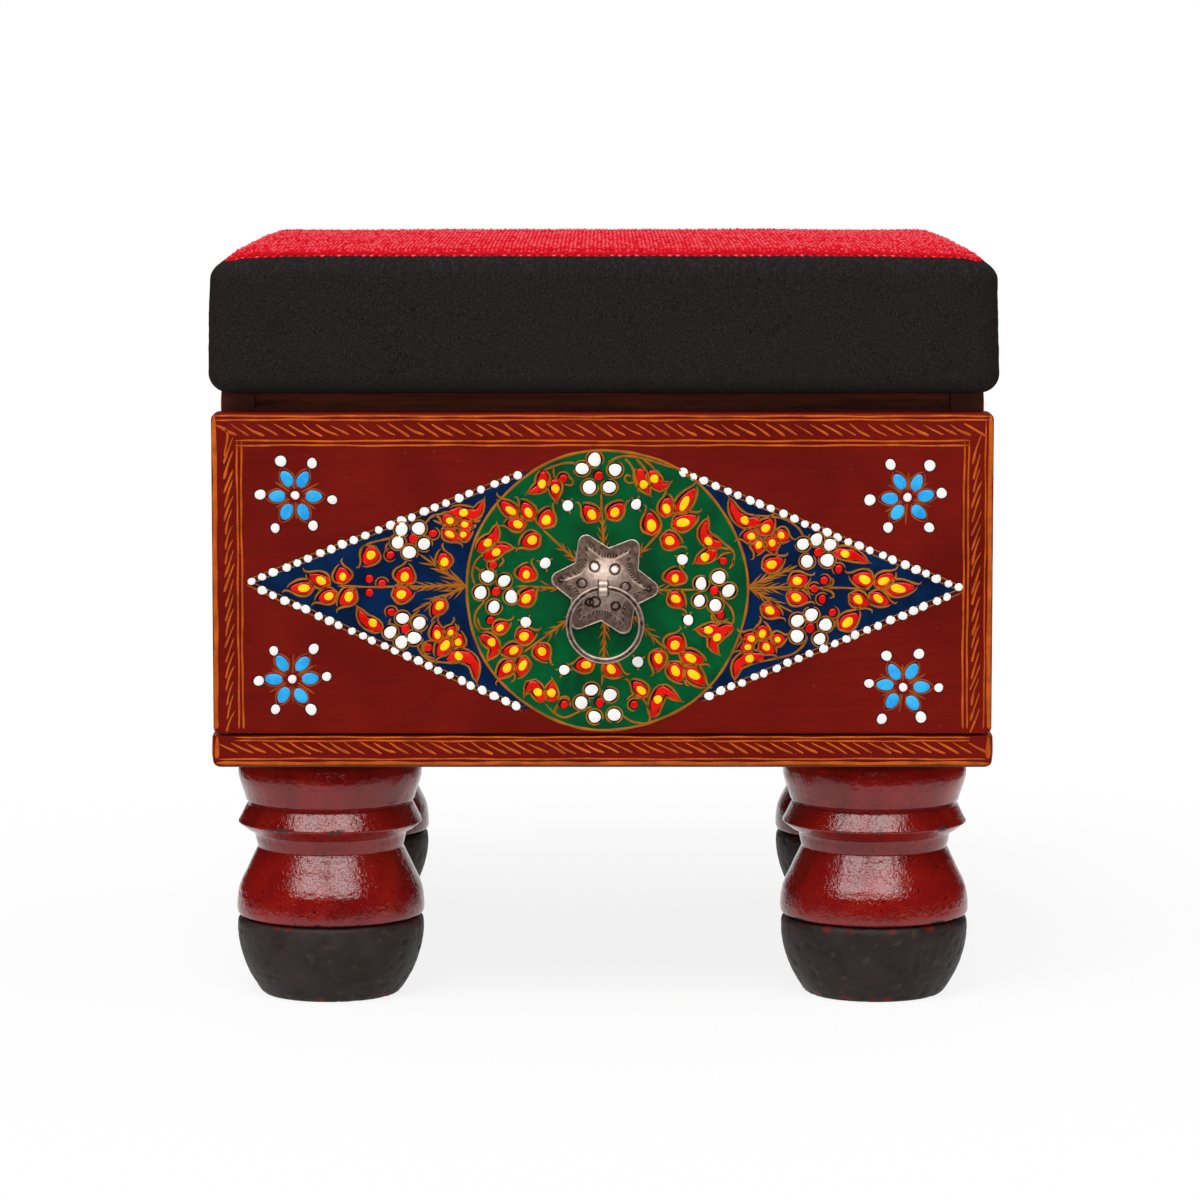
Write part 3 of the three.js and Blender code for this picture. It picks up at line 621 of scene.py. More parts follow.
def bud(brush, at, lean, length, width, flick):
    """A red bud with a yellow heart and a dark edge that is partly painted shade. Two gold strokes meet in a
    hook at its tip.
    """
    own = brush.moved(at, lean)
    shade = SHADE_FALL * turn_of(-lean)
    own.dab("shade", shade, length + 1.2, width + 1.3, 0, 0.18, 0.12, 6)
    own.dab("red", 0j, length + 0.4, width + 0.4, 0, 0.22, 0.45, 3.5)
    heart = (0.6 + 0.06 * chance.random()) * length
    broad = min(0.88 * heart, 0.74 * width)
    own.dab("yellow", -0.07 * length, heart, broad, chance.uniform(-20, 20), 0.05, 0.66, 3.5)
    tip = length / 2 + 1.8
    reach = width / 2 + 1.15
    for hand in (-1, 1):
        hook = ((tip + 1.3, 1.3), (tip + 2.3, 2.5)) if hand == flick else ((tip, -0.2),)
        root = ((-length / 2 - 1, -0.3), (-0.3 * length, reach - 0.2), (0.12 * length, reach))
        path = [complex(x, z * hand) for x, z in (*root, (tip - 1.3, 0.42 * reach), *hook)]
        own.stroke("gold", [p + 0.6 * shade for p in along(*path)], 1.2, shape=thin_end)


HORN_WIDTH = 5.6
HORN_HEART = 5.2


def horn(brush, heart, *spine):
    """A curved red leaf with a yellow heart. A gold line runs along each side and hooks past its tip."""
    middle = along(*spine, step=1.0)
    last = len(middle) - 1
    under = [p + SHADE_FALL for p in middle]
    brush.stroke("shade", under, HORN_WIDTH + 1.2, 0.12, ends=0.8, shape=leaf, flat=0.9)
    brush.stroke("red", middle, HORN_WIDTH, 0.45, ends=0.8, shape=leaf, flat=0.62)
    lean = math.degrees(cmath.phase(middle[last // 2 + 1] - middle[last // 2 - 1]))
    brush.dab("yellow", heart, HORN_HEART, HORN_HEART * 0.82, lean, 0, 0.68, 3.5)
    for hand in (-1, 1):
        path = []
        for i, point in enumerate(middle):
            across = middle[min(i + 1, last)] - middle[max(i - 1, 0)]
            across *= 1j * hand / abs(across)
            path.append(point + SHADE_FALL * 0.5 + across * (HORN_WIDTH / 2 * leaf(i / last) + 0.8))
        way = (middle[-1] - middle[-3]) / abs(middle[-1] - middle[-3])
        path = [*path[:-1:2], middle[-1] + way * 1.2, middle[-1] + way * (2.6 + 0.7j)]
        brush.stroke("gold", path, 1.2, shape=thin_end)


def berry(brush, at, size=4.3, ringed=False):
    if ringed:
        arc = oval(at, size + 2.2, size + 1.9, chance.uniform(0, 360), 30, 230)
        brush.stroke("gold", arc, 0.8, shape=thin_end)
    brush.dab("shade", at + 0.6 * SHADE_FALL, size + 1.0, size + 0.9, 0, 0, 0.12, 6, 14)
    brush.dab("red", at, size, size * 0.9, chance.uniform(0, 90), 0, 0.6, 3, 14)


def pearl(brush, at, size, ringed=False):
    """A white dot, nearly flat, with a dark edge that is partly painted shade. Some have a gold line round
    them.
    """
    if ringed:
        brush.stroke("gold", oval(at, size + 1.8, size + 1.5, 0, chance.uniform(0, 360), 330), 0.8)
    brush.dab("shade", at, size + 1.0, size + 0.9, 0, 0, 0.12, 6, 14)
    brush.dab("white", at, size, size * chance.uniform(0.86, 0.98), chance.uniform(0, 90), 0.08, 0.55, 4)


def blossom(brush, heart, *petals):
    """Five white dots round a red one."""
    for petal in petals:
        pearl(brush, petal, chance.uniform(6.2, 6.9), True)
    berry(brush, heart, 4.9)


BARB_PITCH = 4.2
PEARL_PITCH = 5.95


def feathered(brush, start, end, bare, reach=5.6, spread=26):
    """A stem whose first part is feathered with barbs that point along it."""
    brush.stroke("gold", freehand(start, end, 0.25, 2.0), 1.2, shape=heavy_root)
    run = abs(end - start)
    forward = (end - start) / run
    barbs = int(run * (1 - bare) / BARB_PITCH)
    for k in range(barbs):
        root = start + forward * (0.6 + BARB_PITCH * k)
        for hand in (-1, 1):
            out = forward * turn_of(hand * chance.uniform(spread - 6, spread + 6)) * reach
            out *= chance.uniform(0.8, 1.2)
            brush.stroke("gold", [root, root + out * 0.5, root + out], 0.95, ends=0.5, shape=thin_end)


def edge_of_pearls(brush, tip, end, first=0):
    """A run of dots between two fine lines, from the diamond's tip to the disc."""
    forward = (end - tip) / abs(end - tip)
    lean = math.degrees(cmath.phase(forward))
    for hand in (-1, 1):
        side = 1j * forward * hand * 1.2
        brush.stroke("gold", freehand(tip + side, end + side, 0.12), 0.6)
    count = round(abs(end - tip) / PEARL_PITCH)
    for k in range(first, count):
        spot = tip + (end - tip) * (k + 0.4 + chance.uniform(-0.13, 0.13)) / count
        spot += 1j * forward * chance.uniform(-0.3, 0.3)
        size = chance.uniform(4.2, 5.1)
        brush.dab("shade", spot, size + 0.9, size * 0.88 + 0.8, lean, 0, 0.2, 6, 12)
        brush.dab("white", spot, size, size * 0.9, lean + chance.uniform(-25, 25), 0.06, 0.5, 4, 14)


# The medallion's layout, in millimetres from the disc's middle. A blossom is its heart, then its petals.
# A bud is a place, a lean, a length, a width and the side its tip flicks to. A horn is its heart, then
# its spine from root to tip. A stem on the blue has one root and three ends.
MEDALLION = complex(2.2, 207.4)
DISC = 136.8
DISC_EDGE_SWAY = 0.004
DISC_BLOSSOMS = (
    (-4+56j, -6+64j, -12+59.5j, 4+59j, -8.5+50.5j, 1.2+50.5j),
    (-54-0.5j, -58+7j, -50+4.8j, -61.5-1j, -46.5-3j, -55-8j),
    (52.2+0j, 54.5+6.5j, 45.8+3.5j, 59.2+0j, 45-5j, 52.8-7.2j),
    (-3.5-55j, -7.5-48.8j, 1.5-51.2j, -12.5-55j, -6-62j, 3.6-61j),
)
DISC_PEARLS = (
    -19+41.5j, 14.2+42.2j, -30+13.5j, 36.7+15.2j, -39.5-15.5j, 39.6-14.4j, -20.8-38.9j, 15.1-34.9j,
)
DISC_BERRIES = (-21.1+54.8j, -55.3+12.5j, 56.7+14.5j, -56.6-14.6j, 55.4-11.9j, -20.8-56j, 13.3-56j)
DISC_STEMS = (
    (-10+10.5j, -31.5+29.5j), (10+12j, 26.5+29.5j), (11.5-12j, 32-31.5j), (-12.5-9.5j, -40.5-30.5j),
    (-1.5+14j, -2.5+48j), (-14+1j, -44+2.2j), (14+0.6j, 46+0.4j), (-1-14j, -2.5-47j),
)
DISC_BUDS = (
    (-47.4+39.7j, 139, 11.2, 5.0, -1), (-38.5+38.8j, 118, 9.6, 5.8, 1), (-29.3+35.2j, 74, 9.0, 7.2, -1),
    (-44+32.5j, 178, 8.8, 5.6, 1), (-37+24.4j, 204, 9.2, 6.6, 1), (-7.8+37.7j, 130, 9.0, 6.6, 1),
    (-39.1+8.4j, 78, 7.4, 8.2, -1), (4.3+38.8j, 48, 9.4, 6.4, -1), (38.3+43.5j, 54, 14.5, 5.8, 1),
    (29+40.8j, 82, 9.4, 5.8, 1), (21.5+32.7j, 97, 10.6, 7.0, 1), (37.8+33.6j, 24, 12.0, 6.8, 1),
    (31.2+24.2j, -14, 9.0, 7.0, -1), (33.3+6.6j, 82, 7.2, 8.8, -1), (-38.8-3.4j, 48, 9.6, 6.4, -1),
    (-39.7-22.3j, 12, 8.8, 6.6, 1), (-46.1-29.5j, 190, 8.8, 5.6, -1), (-49.2-38.5j, 226, 10.0, 5.8, 1),
    (-41.3-37.4j, 250, 9.6, 5.4, -1), (-31.4-30.4j, 298, 8.6, 6.6, 1), (-10.9-36.5j, 190, 9.0, 6.0, -1),
    (34-4.5j, 318, 8.6, 6.2, -1), (33.5-26.1j, 60, 8.8, 8.6, 1), (25-34j, 262, 9.4, 6.2, -1),
    (33.8-40.1j, 300, 10.2, 6.4, 1), (41.6-33.3j, 346, 11.0, 6.2, -1), (43-41.9j, 313, 12.4, 6.4, 1),
    (2.7-38.9j, 332, 9.2, 6.2, 1), (-51.5-18j, 24, 7.6, 4.8, 1), (16.2-48.4j, 134, 9.4, 5.4, 1),
)
DISC_HORNS = (
    (-31.5+52.1j, -30.7+58.6j, -31+54.5j, -32.2+50.6j, -37.8+47.9j),
    (-25+49.8j, -25.4+54.6j, -25+50j, -24.6+44.4j), (-58+23.4j, -63+19.3j, -58.8+23j, -55+26j, -53.6+31.4j),
    (-53.9+18.8j, -59.8+15.2j, -54.6+18.6j, -50.4+20.8j, -46.4+20.8j),
    (17.8+51.9j, 15.7+59.8j, 16.6+55.6j, 18+51.6j, 20.3+47.4j),
    (23+54.6j, 20.9+58.9j, 23.2+54.2j, 26.4+50.9j, 30+52.2j),
    (49.3+24.2j, 55.6+21.8j, 50+23.8j, 47+28.2j, 48.8+34.4j), (47.7+16.4j, 53.4+19j, 48+16.4j, 43.4+14.2j),
    (-56.2-25.3j, -61.6-21.8j, -56.6-25.2j, -54.6-29j, -57.4-33.4j),
    (49.4-19.4j, 54.4-17.6j, 49.5-19.6j, 44.2-19.2j), (53.6-22.9j, 61.6-17.8j, 56-20j, 51.6-26j, 54-30.6j),
    (-33.7-49.8j, -30.8-54.8j, -33.6-49.6j, -36.8-46.4j, -39.8-50.6j),
    (-27-50.1j, -26.2-54.6j, -27-50j, -26.7-44.8j),
    (24.8-53.4j, 22.4-62.4j, 24.2-54.8j, 27.8-49.2j, 35.2-53.8j),
)
DISC_TENDRILS = (
    (-15.4+62.3j, -21.1+62.1j, -26.9+60.2j, -31+58.6j), (-26+60j, -25.6+56j, -23.4+52.6j),
    (-19+55.9j, -16.6+53.8j, -17.2+51.4j, -21+52j), (-64.4+3j, -65.6+8.4j, -63.8+14.3j, -59.8+18.4j),
    (-64.6+12j, -61.8+9.8j, -58.6+9j), (-52.6+11.6j, -50.3+14.3j, -51.2+16.4j),
    (0.5+62.5j, 4.5+64.7j, 9.9+65.6j, 18+64.3j, 33+59.6j), (8.6+64.6j, 12.2+60.2j, 14.4+53.4j, 15.4+47.6j),
    (14+64.3j, 17.6+60.6j, 19.6+56.8j), (17.6+63.8j, 21.4+61j, 24+57.4j, 27+54.8j),
    (13.5+53j, 10.6+52.4j, 8.6+54.3j, 9.6+56.4j, 12+55.6j),
    (61.2+12j, 61.9+17.4j, 60.4+20.2j, 55.4+24.4j, 52.2+28j), (60.4+18.6j, 56.4+17.8j, 53.6+15j),
    (59.4+10.6j, 61.2+13j, 61.6+16j), (60+20.2j, 54+21j, 49+21.2j),
    (-59.4-5j, -63.6-10.4j, -64.4-15.6j, -61.8-20.4j), (-63.4-13j, -61-18.6j, -56-18.6j),
    (55.2-3.4j, 60.4-8.8j, 61.8-14.2j, 60-18j), (52.6-10j, 51-12.6j, 52.4-15.4j, 56-15.6j, 59.4-13.6j),
    (-7.4-57.2j, -11.2-58.3j, -20.2-62.3j, -25.6-60.1j, -30.5-55.1j),
    (-25.8-60j, -24-55.6j, -22.6-52.6j, -18.8-52.6j, -18.2-57j),
    (7.7-61.4j, 11.7-64.1j, 15.8-65.1j, 20.6-64.6j, 20.8-58j),
    (9.8-53.6j, 11.8-51.6j, 16-52j, 19.6-56j, 20.8-60j),
)
LEFT_BLOSSOMS = (
    (-94.2+25.4j, -99.8+29.8j, -91.5+30.4j, -101.7+23.6j, -88.9+22.8j, -96.1+18.7j),
    (-98.1-18.7j, -99.5-13.6j, -91.4-15.9j, -105.5-20.4j, -93.9-23.2j, -100.1-25.2j),
)
LEFT_BERRIES = (-115.6+5.7j, -109.4+3.4j, -115.6-1j, -105.4+17.4j, -105-10.6j, -84.6+27.9j, -87.1-28j)
LEFT_BUDS = (
    (-148.4+1.2j, 181, 10.9, 5.6, 1), (-139.9+5.2j, 158, 10.4, 5.6, -1), (-128.7+7.4j, 104, 7.6, 7.0, -1),
    (-136.1-3j, 198, 9.2, 5.6, 1), (-126.2-3.5j, 222, 9.8, 6.4, 1), (-98.2+7.4j, 72, 8.4, 8.2, 1),
    (-99.4-1.8j, 8, 9.2, 6.8, 1), (-79.2+14.6j, 106, 8.0, 6.0, -1), (-81.9-8j, 236, 9.2, 5.6, 1),
    (-115.2+16.8j, 236, 9.0, 7.4, -1), (-76.8+34.4j, 150, 7.0, 5.4, 1), (-68.6+32.3j, 0, 6.4, 5.0, 1),
    (-75.8+27.2j, 328, 8.6, 5.0, -1), (-69.4+27.6j, 20, 6.4, 5.4, 1), (-82.7-20.9j, 96, 8.2, 5.0, -1),
    (-76-20.2j, 60, 5.6, 4.6, 1), (-79.4-27.6j, 232, 10.0, 6.2, 1), (-72.3-24.8j, 76, 6.8, 5.4, 1),
)
LEFT_HORNS = (
    (-114.1-15.9j, -109.4-19.6j, -113.6-17j, -118-14.4j, -121-9j),
    (-69.7+38j, -76.8+38.8j, -71+38j, -63.8+37.6j, -60+43.6j),
    (-72.3-32.1j, -78-33.8j, -71.6-31.8j, -65-35.6j, -63.7-43.8j),
)
LEFT_TENDRILS = (
    (-88.6+32.4j, -85.4+36j, -81.4+37.2j, -76.6+37.4j), (-84.6+34.4j, -76+30.8j, -69.6+27.4j),
    (-102.4+26.2j, -108.8+24.8j, -115.6+23j, -120.4+20j), (-106.2+23.6j, -107.6+21j, -106.8+18.8j),
    (-105.4-13.6j, -106.4-16.8j), (-92.6-26.4j, -90.8-30.4j, -86.4-34.2j, -78-35.4j, -70-35.6j),
    (-84-33.6j, -88.4-31.8j, -89.2-27.4j, -86.4-24.4j, -84.4-25.4j), (-98.4-22j, -95.4-13.6j, -91-9.4j),
)
RIGHT_BLOSSOMS = (
    (103+18.8j, 95.4+22.7j, 101.9+25j, 108.5+22.4j, 97.4+14.3j, 107.2+14.9j),
    (98.9-18.5j, 92.9-14.8j, 99.6-11.9j, 106.5-16.7j, 92.7-22.3j, 103.7-23.7j),
)
RIGHT_BERRIES = (105.7+4.9j, 100.9+1j, 104.8-4.2j, 112.8+10.5j, 109.8-10.7j)
RIGHT_BUDS = (
    (142.8+1j, 4, 13.4, 6.0, 1), (135.3+5.1j, 34, 10.0, 5.8, 1), (124.6+5.6j, 168, 10.4, 6.8, -1),
    (132.7-4.2j, 334, 9.4, 5.6, 1), (122.9-4.8j, 330, 9.6, 6.0, -1), (93.3+4.9j, 10, 9.0, 6.2, 1),
    (92.9-3.5j, 352, 9.8, 6.2, -1), (80.8+13j, 22, 9.8, 6.4, 1), (80-10j, 338, 9.4, 5.6, -1),
    (117.9-15j, 42, 11.0, 6.6, 1), (77.6+31j, 50, 8.8, 5.8, 1), (85.1+26.8j, 330, 6.6, 5.8, 1),
    (69.6+26.5j, 184, 6.8, 5.4, 1), (73.7+21.8j, 262, 6.6, 5.6, -1), (80.4+22.8j, 280, 7.0, 5.8, 1),
    (75.8-20.6j, 84, 7.4, 6.0, 1), (69.8-23.4j, 160, 6.6, 5.6, -1), (83.6-23.9j, 10, 5.8, 5.2, 1),
    (68.2-27.8j, 190, 6.2, 5.0, 1), (78.2-28j, 326, 7.8, 5.4, -1),
)
RIGHT_HORNS = (
    (115.8+18j, 110.4+18.4j, 116+18.2j, 121.4+16.6j, 126.6+14j),
    (66.9+34.3j, 75+33.6j, 67.4+33.8j, 62.6+37.8j, 60+44.2j),
    (69.5-33.3j, 76.6-32.4j, 69.6-33j, 64-36.4j, 62.4-42.8j),
)
RIGHT_TENDRILS = (
    (95.5+26.6j, 92.9+30.6j, 87.7+34.3j, 81.2+36j, 70.1+36.8j),
    (97.5-22j, 96.2-26.3j, 91-30.9j, 83.8-33j, 70.1-36j), (104+0.9j, 109.4+2.4j, 110+5.4j, 107.4+6.6j),
    (104+0.9j, 109.2-0.6j, 110.4-3j, 108-3.8j), (108.4-17.6j, 111.2-17.6j, 111-13.6j),
    (111.4+13j, 110.6+15j),
)
BLUE_STEMS = (
    (-68.6+2.2j, -131+1.8j, -91.6+18j, -94.6-10.4j), (68.8+1.6j, 128+0.8j, 92.6+12.4j, 90.6-10.8j),
)
BLUE_FIELDS = (
    (-175.2+3.8j, -40.5+57.7j, -32+59j, -32-58j, -41-58.2j),
    (173.6+0.4j, 33.4+59.2j, 32+58j, 36-55.6j, 46-53.4j),
)


def scatter(brush, buds, horns, berries, blossoms, tendrils):
    for points in tendrils:
        brush.stroke("gold", along(*points), 1.15, shape=thin_end)
    for heart, *petals in blossoms:
        blossom(brush, heart, *petals)
    for place in buds:
        bud(brush, *place)
    for heart, *spine in horns:
        horn(brush, heart, *spine)
    for at in berries:
        berry(brush, at, ringed=chance.random() < 0.7)


def medallion(brush):
    """The green disc on a blue diamond, both full of flowers."""
    for outline in BLUE_FIELDS:
        tip, above, *_, below = outline
        brush.field("blue", outline, BLUE_COAT)
        edge_of_pearls(brush, tip, above)
        edge_of_pearls(brush, tip, below, 1)
    brush.field("green", oval(0j, DISC, DISC, step=3.0), GREEN_COAT)
    edge = oval(0j, DISC, DISC, step=2.2)
    edge = [p * (1 + DISC_EDGE_SWAY * math.sin(7 * cmath.phase(p) + 1)) for p in edge]
    brush.moved(ground=0.1).stroke("gold", edge, 1.5, closed=True)
    blue = brush.moved(ground=BLUE_COAT)
    for root, *ends in BLUE_STEMS:
        for end, bare in zip(ends, (0.62, 0.15, 0.2)):
            feathered(blue, root, end, bare, 8.0, 18)
    scatter(blue, LEFT_BUDS, LEFT_HORNS, LEFT_BERRIES, LEFT_BLOSSOMS, LEFT_TENDRILS)
    scatter(blue, RIGHT_BUDS, RIGHT_HORNS, RIGHT_BERRIES, RIGHT_BLOSSOMS, RIGHT_TENDRILS)
    green = brush.moved(ground=GREEN_COAT)
    for start, end in DISC_STEMS:
        feathered(green, start, end, 0.35)
    scatter(green, DISC_BUDS, DISC_HORNS, DISC_BERRIES, DISC_BLOSSOMS, DISC_TENDRILS)
    for at in DISC_PEARLS:
        for k in range(3):
            out = turn_of(120 * k + chance.uniform(0, 80))
            green.stroke("gold", [at + out * 2.4, at + out * 3.4, at + out * 4.4], 1.0)
        pearl(green, at, 5.6)


def paint_front():
    coats = {}
    face, half, outward = side_of(FRONT_LOW, FRONT_HIGH, 0, FRONT_EDGE, FRONT_EDGE, FRONT_EDGE)
    brush = Brush(face, coats)
    border(brush, half, FRONT_LOW.z, FRONT_HIGH.z)
    for at, turn in ((-149.3 + 253.9j, -2), (-151.3 + 163.9j, 0), (148.2 + 252.9j, 2), (146.7 + 159.9j, -4)):
        floret(brush, at, turn=turn)
    medallion(brush.moved(MEDALLION))
    hang("drawer_paint", coats, "drawer", outward)


def paint_base():
    for name, turn in (("front", 0), ("right", 90), ("back", 180), ("left", 270)):
        coats = {}
        face, half, outward = side_of(BASE_LOW, BASE_HIGH, turn, BASE_EDGE, BASE_CORNER)
        base_strip(Brush(face, coats), half)
        hang(f"base_paint_{name}", coats, "stool", outward)


def paint_sides():
    """The sides and back have the same border, and the sides a floret in each corner and the middle."""
    left, right = millimetres("side_panel_left"), millimetres("side_panel_right")
    back = (left[0], right[1])
    for name, turn, (low, high) in (("right", 90, right), ("left", 270, left), ("back", 180, back)):
        coats = {}
        face, half, outward = side_of(low, high, turn)
        brush = Brush(face, coats)
        border(brush, half, low.z + 0.4, high.z)
        if name != "back":
            middle = (low.z + high.z) / 2
            for x in (-1, 1):
                for z in (-1, 1):
                    floret(brush, complex(x * (half - 42), middle + z * 38), 1.0, chance.uniform(-5, 5))
            floret(brush, complex(0, middle), 1.5)
        hang(f"side_paint_{name}", coats, "stool", outward)


# Turned legs and feet

# Outer walls of the turnings as radius and height, in millimetres, from the top down. The first and last
# points are on the axis, and only the walls between them are built.
LEG_PROFILE = [
    (0, 119.7), (41.3, 119.7), (43.6, 118.9), (45.2, 116.6), (45.8, 113), (45.7, 110), (45, 107),
    (43.9, 103.8), (42.8, 100.6), (41.9, 97.4), (40, 96.6), (39.8, 96.1), (41.4, 95.5), (43.2, 91.8),
    (44.8, 88.6), (45.9, 86.7), (45.9, 86.3), (45, 85.6), (43.2, 84.2), (41.6, 82.9), (40, 82.1),
    (39.2, 81.7), (38.1, 80.9), (37.5, 79.4), (37.1, 77.2), (36.6, 75.2), (36.1, 73.8), (36.2, 73.4),
    (36.8, 72.7), (38.1, 69.8), (39.7, 66.6), (41.1, 63.5), (42.6, 60.4), (44.4, 57), (45.8, 53.3),
    (46.5, 49.8), (46.9, 46.4), (47, 43.4), (46.8, 41.2), (46, 40), (44, 39.2), (0, 39.2),
]
FOOT_PROFILE = [
    (0, 38.9), (44.2, 38.9), (45.9, 38.1), (46.5, 36.4), (46.6, 32), (46.3, 28.3), (45.6, 24.2),
    (44.5, 19.6), (43, 15.2), (41, 10.6), (38.6, 6.4), (36.4, 2.9), (34.8, 0.8), (33.5, 0), (0, 0),
]
# Chipped edges: height, depth and how far the chips reach up and down.
LEG_CHIPS = ((86.5, 1.2, 1.8), (40.2, 0.8, 1.4))
FOOT_CHIPS = ((37.6, 0.7, 2.2), (1, 0.6, 2.5))


def resampled(profile, step):
    """Points along a turning's outer wall, with its corners eased by less than half a step."""
    wall = profile[1:-1]
    points = []
    for (r0, z0), (r1, z1) in zip(wall, wall[1:]):
        count = max(1, round(math.hypot(r1 - r0, z1 - z0) / step))
        points.extend((r0 + (r1 - r0) * k / count, z0 + (z1 - z0) * k / count) for k in range(count))
    points.append(wall[-1])
    softened = [
        tuple(0.2 * a + 0.6 * b + 0.2 * c for a, b, c in zip(before, here, after))
        for before, here, after in zip(points, points[1:], points[2:])
    ]
    return [points[0], *softened, points[-1]]


def turned(name, node, profile, material, slot, seed, chips, step=0.7, segments=128, scuffed=False):
    """A wooden turning: not quite round, and chipped on its sharp edges."""
    low, high = millimetres(node)
    axis = (low + high) / 2
    wall = resampled(profile, step)
    away = Vector((seed * 37.1, seed * 11.3, seed * 5.7))

    def patches(out, pitch, level):
        return noise.noise(Vector((out.x * pitch, out.y * pitch, level)) + away)

    vertices, wear, scuff = [], [], []
    for radius, height in wall:
        for k in range(segments):
            out = Vector((math.cos(math.tau * k / segments), math.sin(math.tau * k / segments), 0))
            spot = out * radius + Vector((0, 0, height))
            ripple = 0.22 * noise.noise(spot / 26 + away) + 0.05 * noise.noise(spot / 7 + away)
            worn = bite = 0.0
            for level, depth, reach in chips:
                close = max(0.0, 1 - abs(height - level) / reach)
                chip = max(0.0, patches(out, 6, level) - 0.28 + 0.35 * patches(out, 17, height / 2))
                worn = max(worn, min(1.0, 1.6 * close) * min(1.0, chip * 6))
                ripple -= depth * close * min(1.0, chip * 3.2)
            if scuffed:
                bite = patches(out, 9, height / 4) - 0.48 + 0.4 * patches(out, 16, height / 2.2)
                bite = min(1.0, max(0.0, bite) * 5)
                ripple -= 0.4 * bite + 1.5 * max(0.0, noise.noise(spot / 3.6 + away) - 0.2)
            spot += out * ripple
            vertices.append(Vector((axis.x + spot.x, axis.y + spot.y, min(max(spot.z, low.z), high.z))) * MM)
            wear.append(worn)
            scuff.append(bite)
    faces = capped(len(wall), segments, turned_out=True)
    piece = skin(name, vertices, faces, material, "stool", slot, wear=wear, scuff=scuff)
    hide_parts(node)


def add_legs():
    lacquer, black = red_lacquer(), black_paint()
    for seed, place in enumerate(("front_left", "front_right", "rear_left", "rear_right"), 1):
        leg = (f"turned_leg_{place}", f"leg_{place}", LEG_PROFILE, lacquer, "red_lacquer", seed, LEG_CHIPS)
        foot = (f"round_foot_{place}", f"foot_{place}", FOOT_PROFILE, black, "black_paint", seed + 9)
        turned(*leg)
        turned(*foot, FOOT_CHIPS, step=0.9, segments=160, scuffed=True)


# Ring pull

# The star's arms are counted from the one that points right, which is turned by a few degrees.
PLATE_ARMS = 6
PLATE_TURN = -6
ARM_ANGLE = math.tau / PLATE_ARMS
TIP_RADIUS = 26.2
NOTCH_RADIUS = 18.0
TIP_ROUND = 3.9
PLATE_EDGE = 0.8
DOME_RISE = 4.9
DOME_RADIUS = 13.4
DOME_STEP = 0.55
# Stamped rings on the plate: distance from its middle, angle, radius.
STAMPS = (
    (10.2, 120, 2.3), (9.0, 57, 2.3), (11.2, 177, 2.2), (10.0, -6, 2.2), (9.6, 240, 2.5), (11.4, 229, 1.8),
    (11.6, 296, 2.0),
)
# The two upper stamps are painted lighter inside: a painted highlight.
HIGHLIT_STAMPS = (57, 120)


def off_arm(angle):
    """Angle from the middle of the nearest arm."""
    return abs((angle - math.radians(PLATE_TURN) + ARM_ANGLE / 2) % ARM_ANGLE - ARM_ANGLE / 2)


def star_radius(angle):
    """Distance from the middle to the star's outline: straight flanks and round tips."""
    off = off_arm(angle)
    centre = TIP_RADIUS - TIP_ROUND
    notch = cmath.rect(NOTCH_RADIUS, ARM_ANGLE / 2)
    touch = cmath.phase(notch - centre) - math.acos(TIP_ROUND / abs(notch - centre))
    contact = centre + cmath.rect(TIP_ROUND, touch)
    if off <= cmath.phase(contact):
        return centre * math.cos(off) + math.sqrt(TIP_ROUND**2 - (centre * math.sin(off)) ** 2)
    ray = cmath.rect(1, off)
    flank = notch - contact
    crossed = contact.real * flank.imag - contact.imag * flank.real
    return crossed / (ray.real * flank.imag - ray.imag * flank.real)


def near(distance, width):
    """How close a point is to a line, from 1 on the line down to 0."""
    return math.exp(-((distance / width) ** 2))


def plate_height(radius, angle, outline):
    """Height of the stamped plate over its back, and how far it is rubbed bright, with a painted highlight
    inside its two upper stamps.
    """
    cusp = 12.9 + 7.4 * max(0.0, 1 - 2 * off_arm(angle) / ARM_ANGLE) ** 2.8
    share = min(1.0, radius / DOME_RADIUS)
    step_up = min(1.0, max(0.0, (cusp - radius) / 1.1))
    height = PLATE_EDGE + DOME_STEP * step_up + (DOME_RISE - DOME_STEP) * (1 - share**2) ** 1.4
    bright = 0.2 + 0.1 * step_up + 0.26 * (1 - share**3)
    beads = 0.5 + 0.5 * math.cos(angle * 66)
    line = near(radius - cusp - 0.9, 0.55)
    rim = near(outline - radius, 0.5)
    height += 0.3 * line * (beads - 0.6) + 0.35 * rim
    bright += line * (0.7 * beads - 0.35) + 0.6 * rim + 0.22 * near(radius - cusp + 0.5, 0.4)
    here = cmath.rect(radius, angle)
    for out, turn, size in STAMPS:
        past = abs(here - out * turn_of(turn)) - size
        groove = near(past, 0.42)
        height -= 0.4 * groove
        bright += (0.2 if past < -0.4 and turn in HIGHLIT_STAMPS else 0.0) - 0.65 * groove
    for arm in (0, 3):
        dot = near(abs(here - 21.6 * turn_of(PLATE_TURN + 60 * arm)) - 1.1, 0.4)
        height -= 0.12 * dot
        bright -= 0.25 * dot
    return height, min(max(bright, 0.0), 1.0)


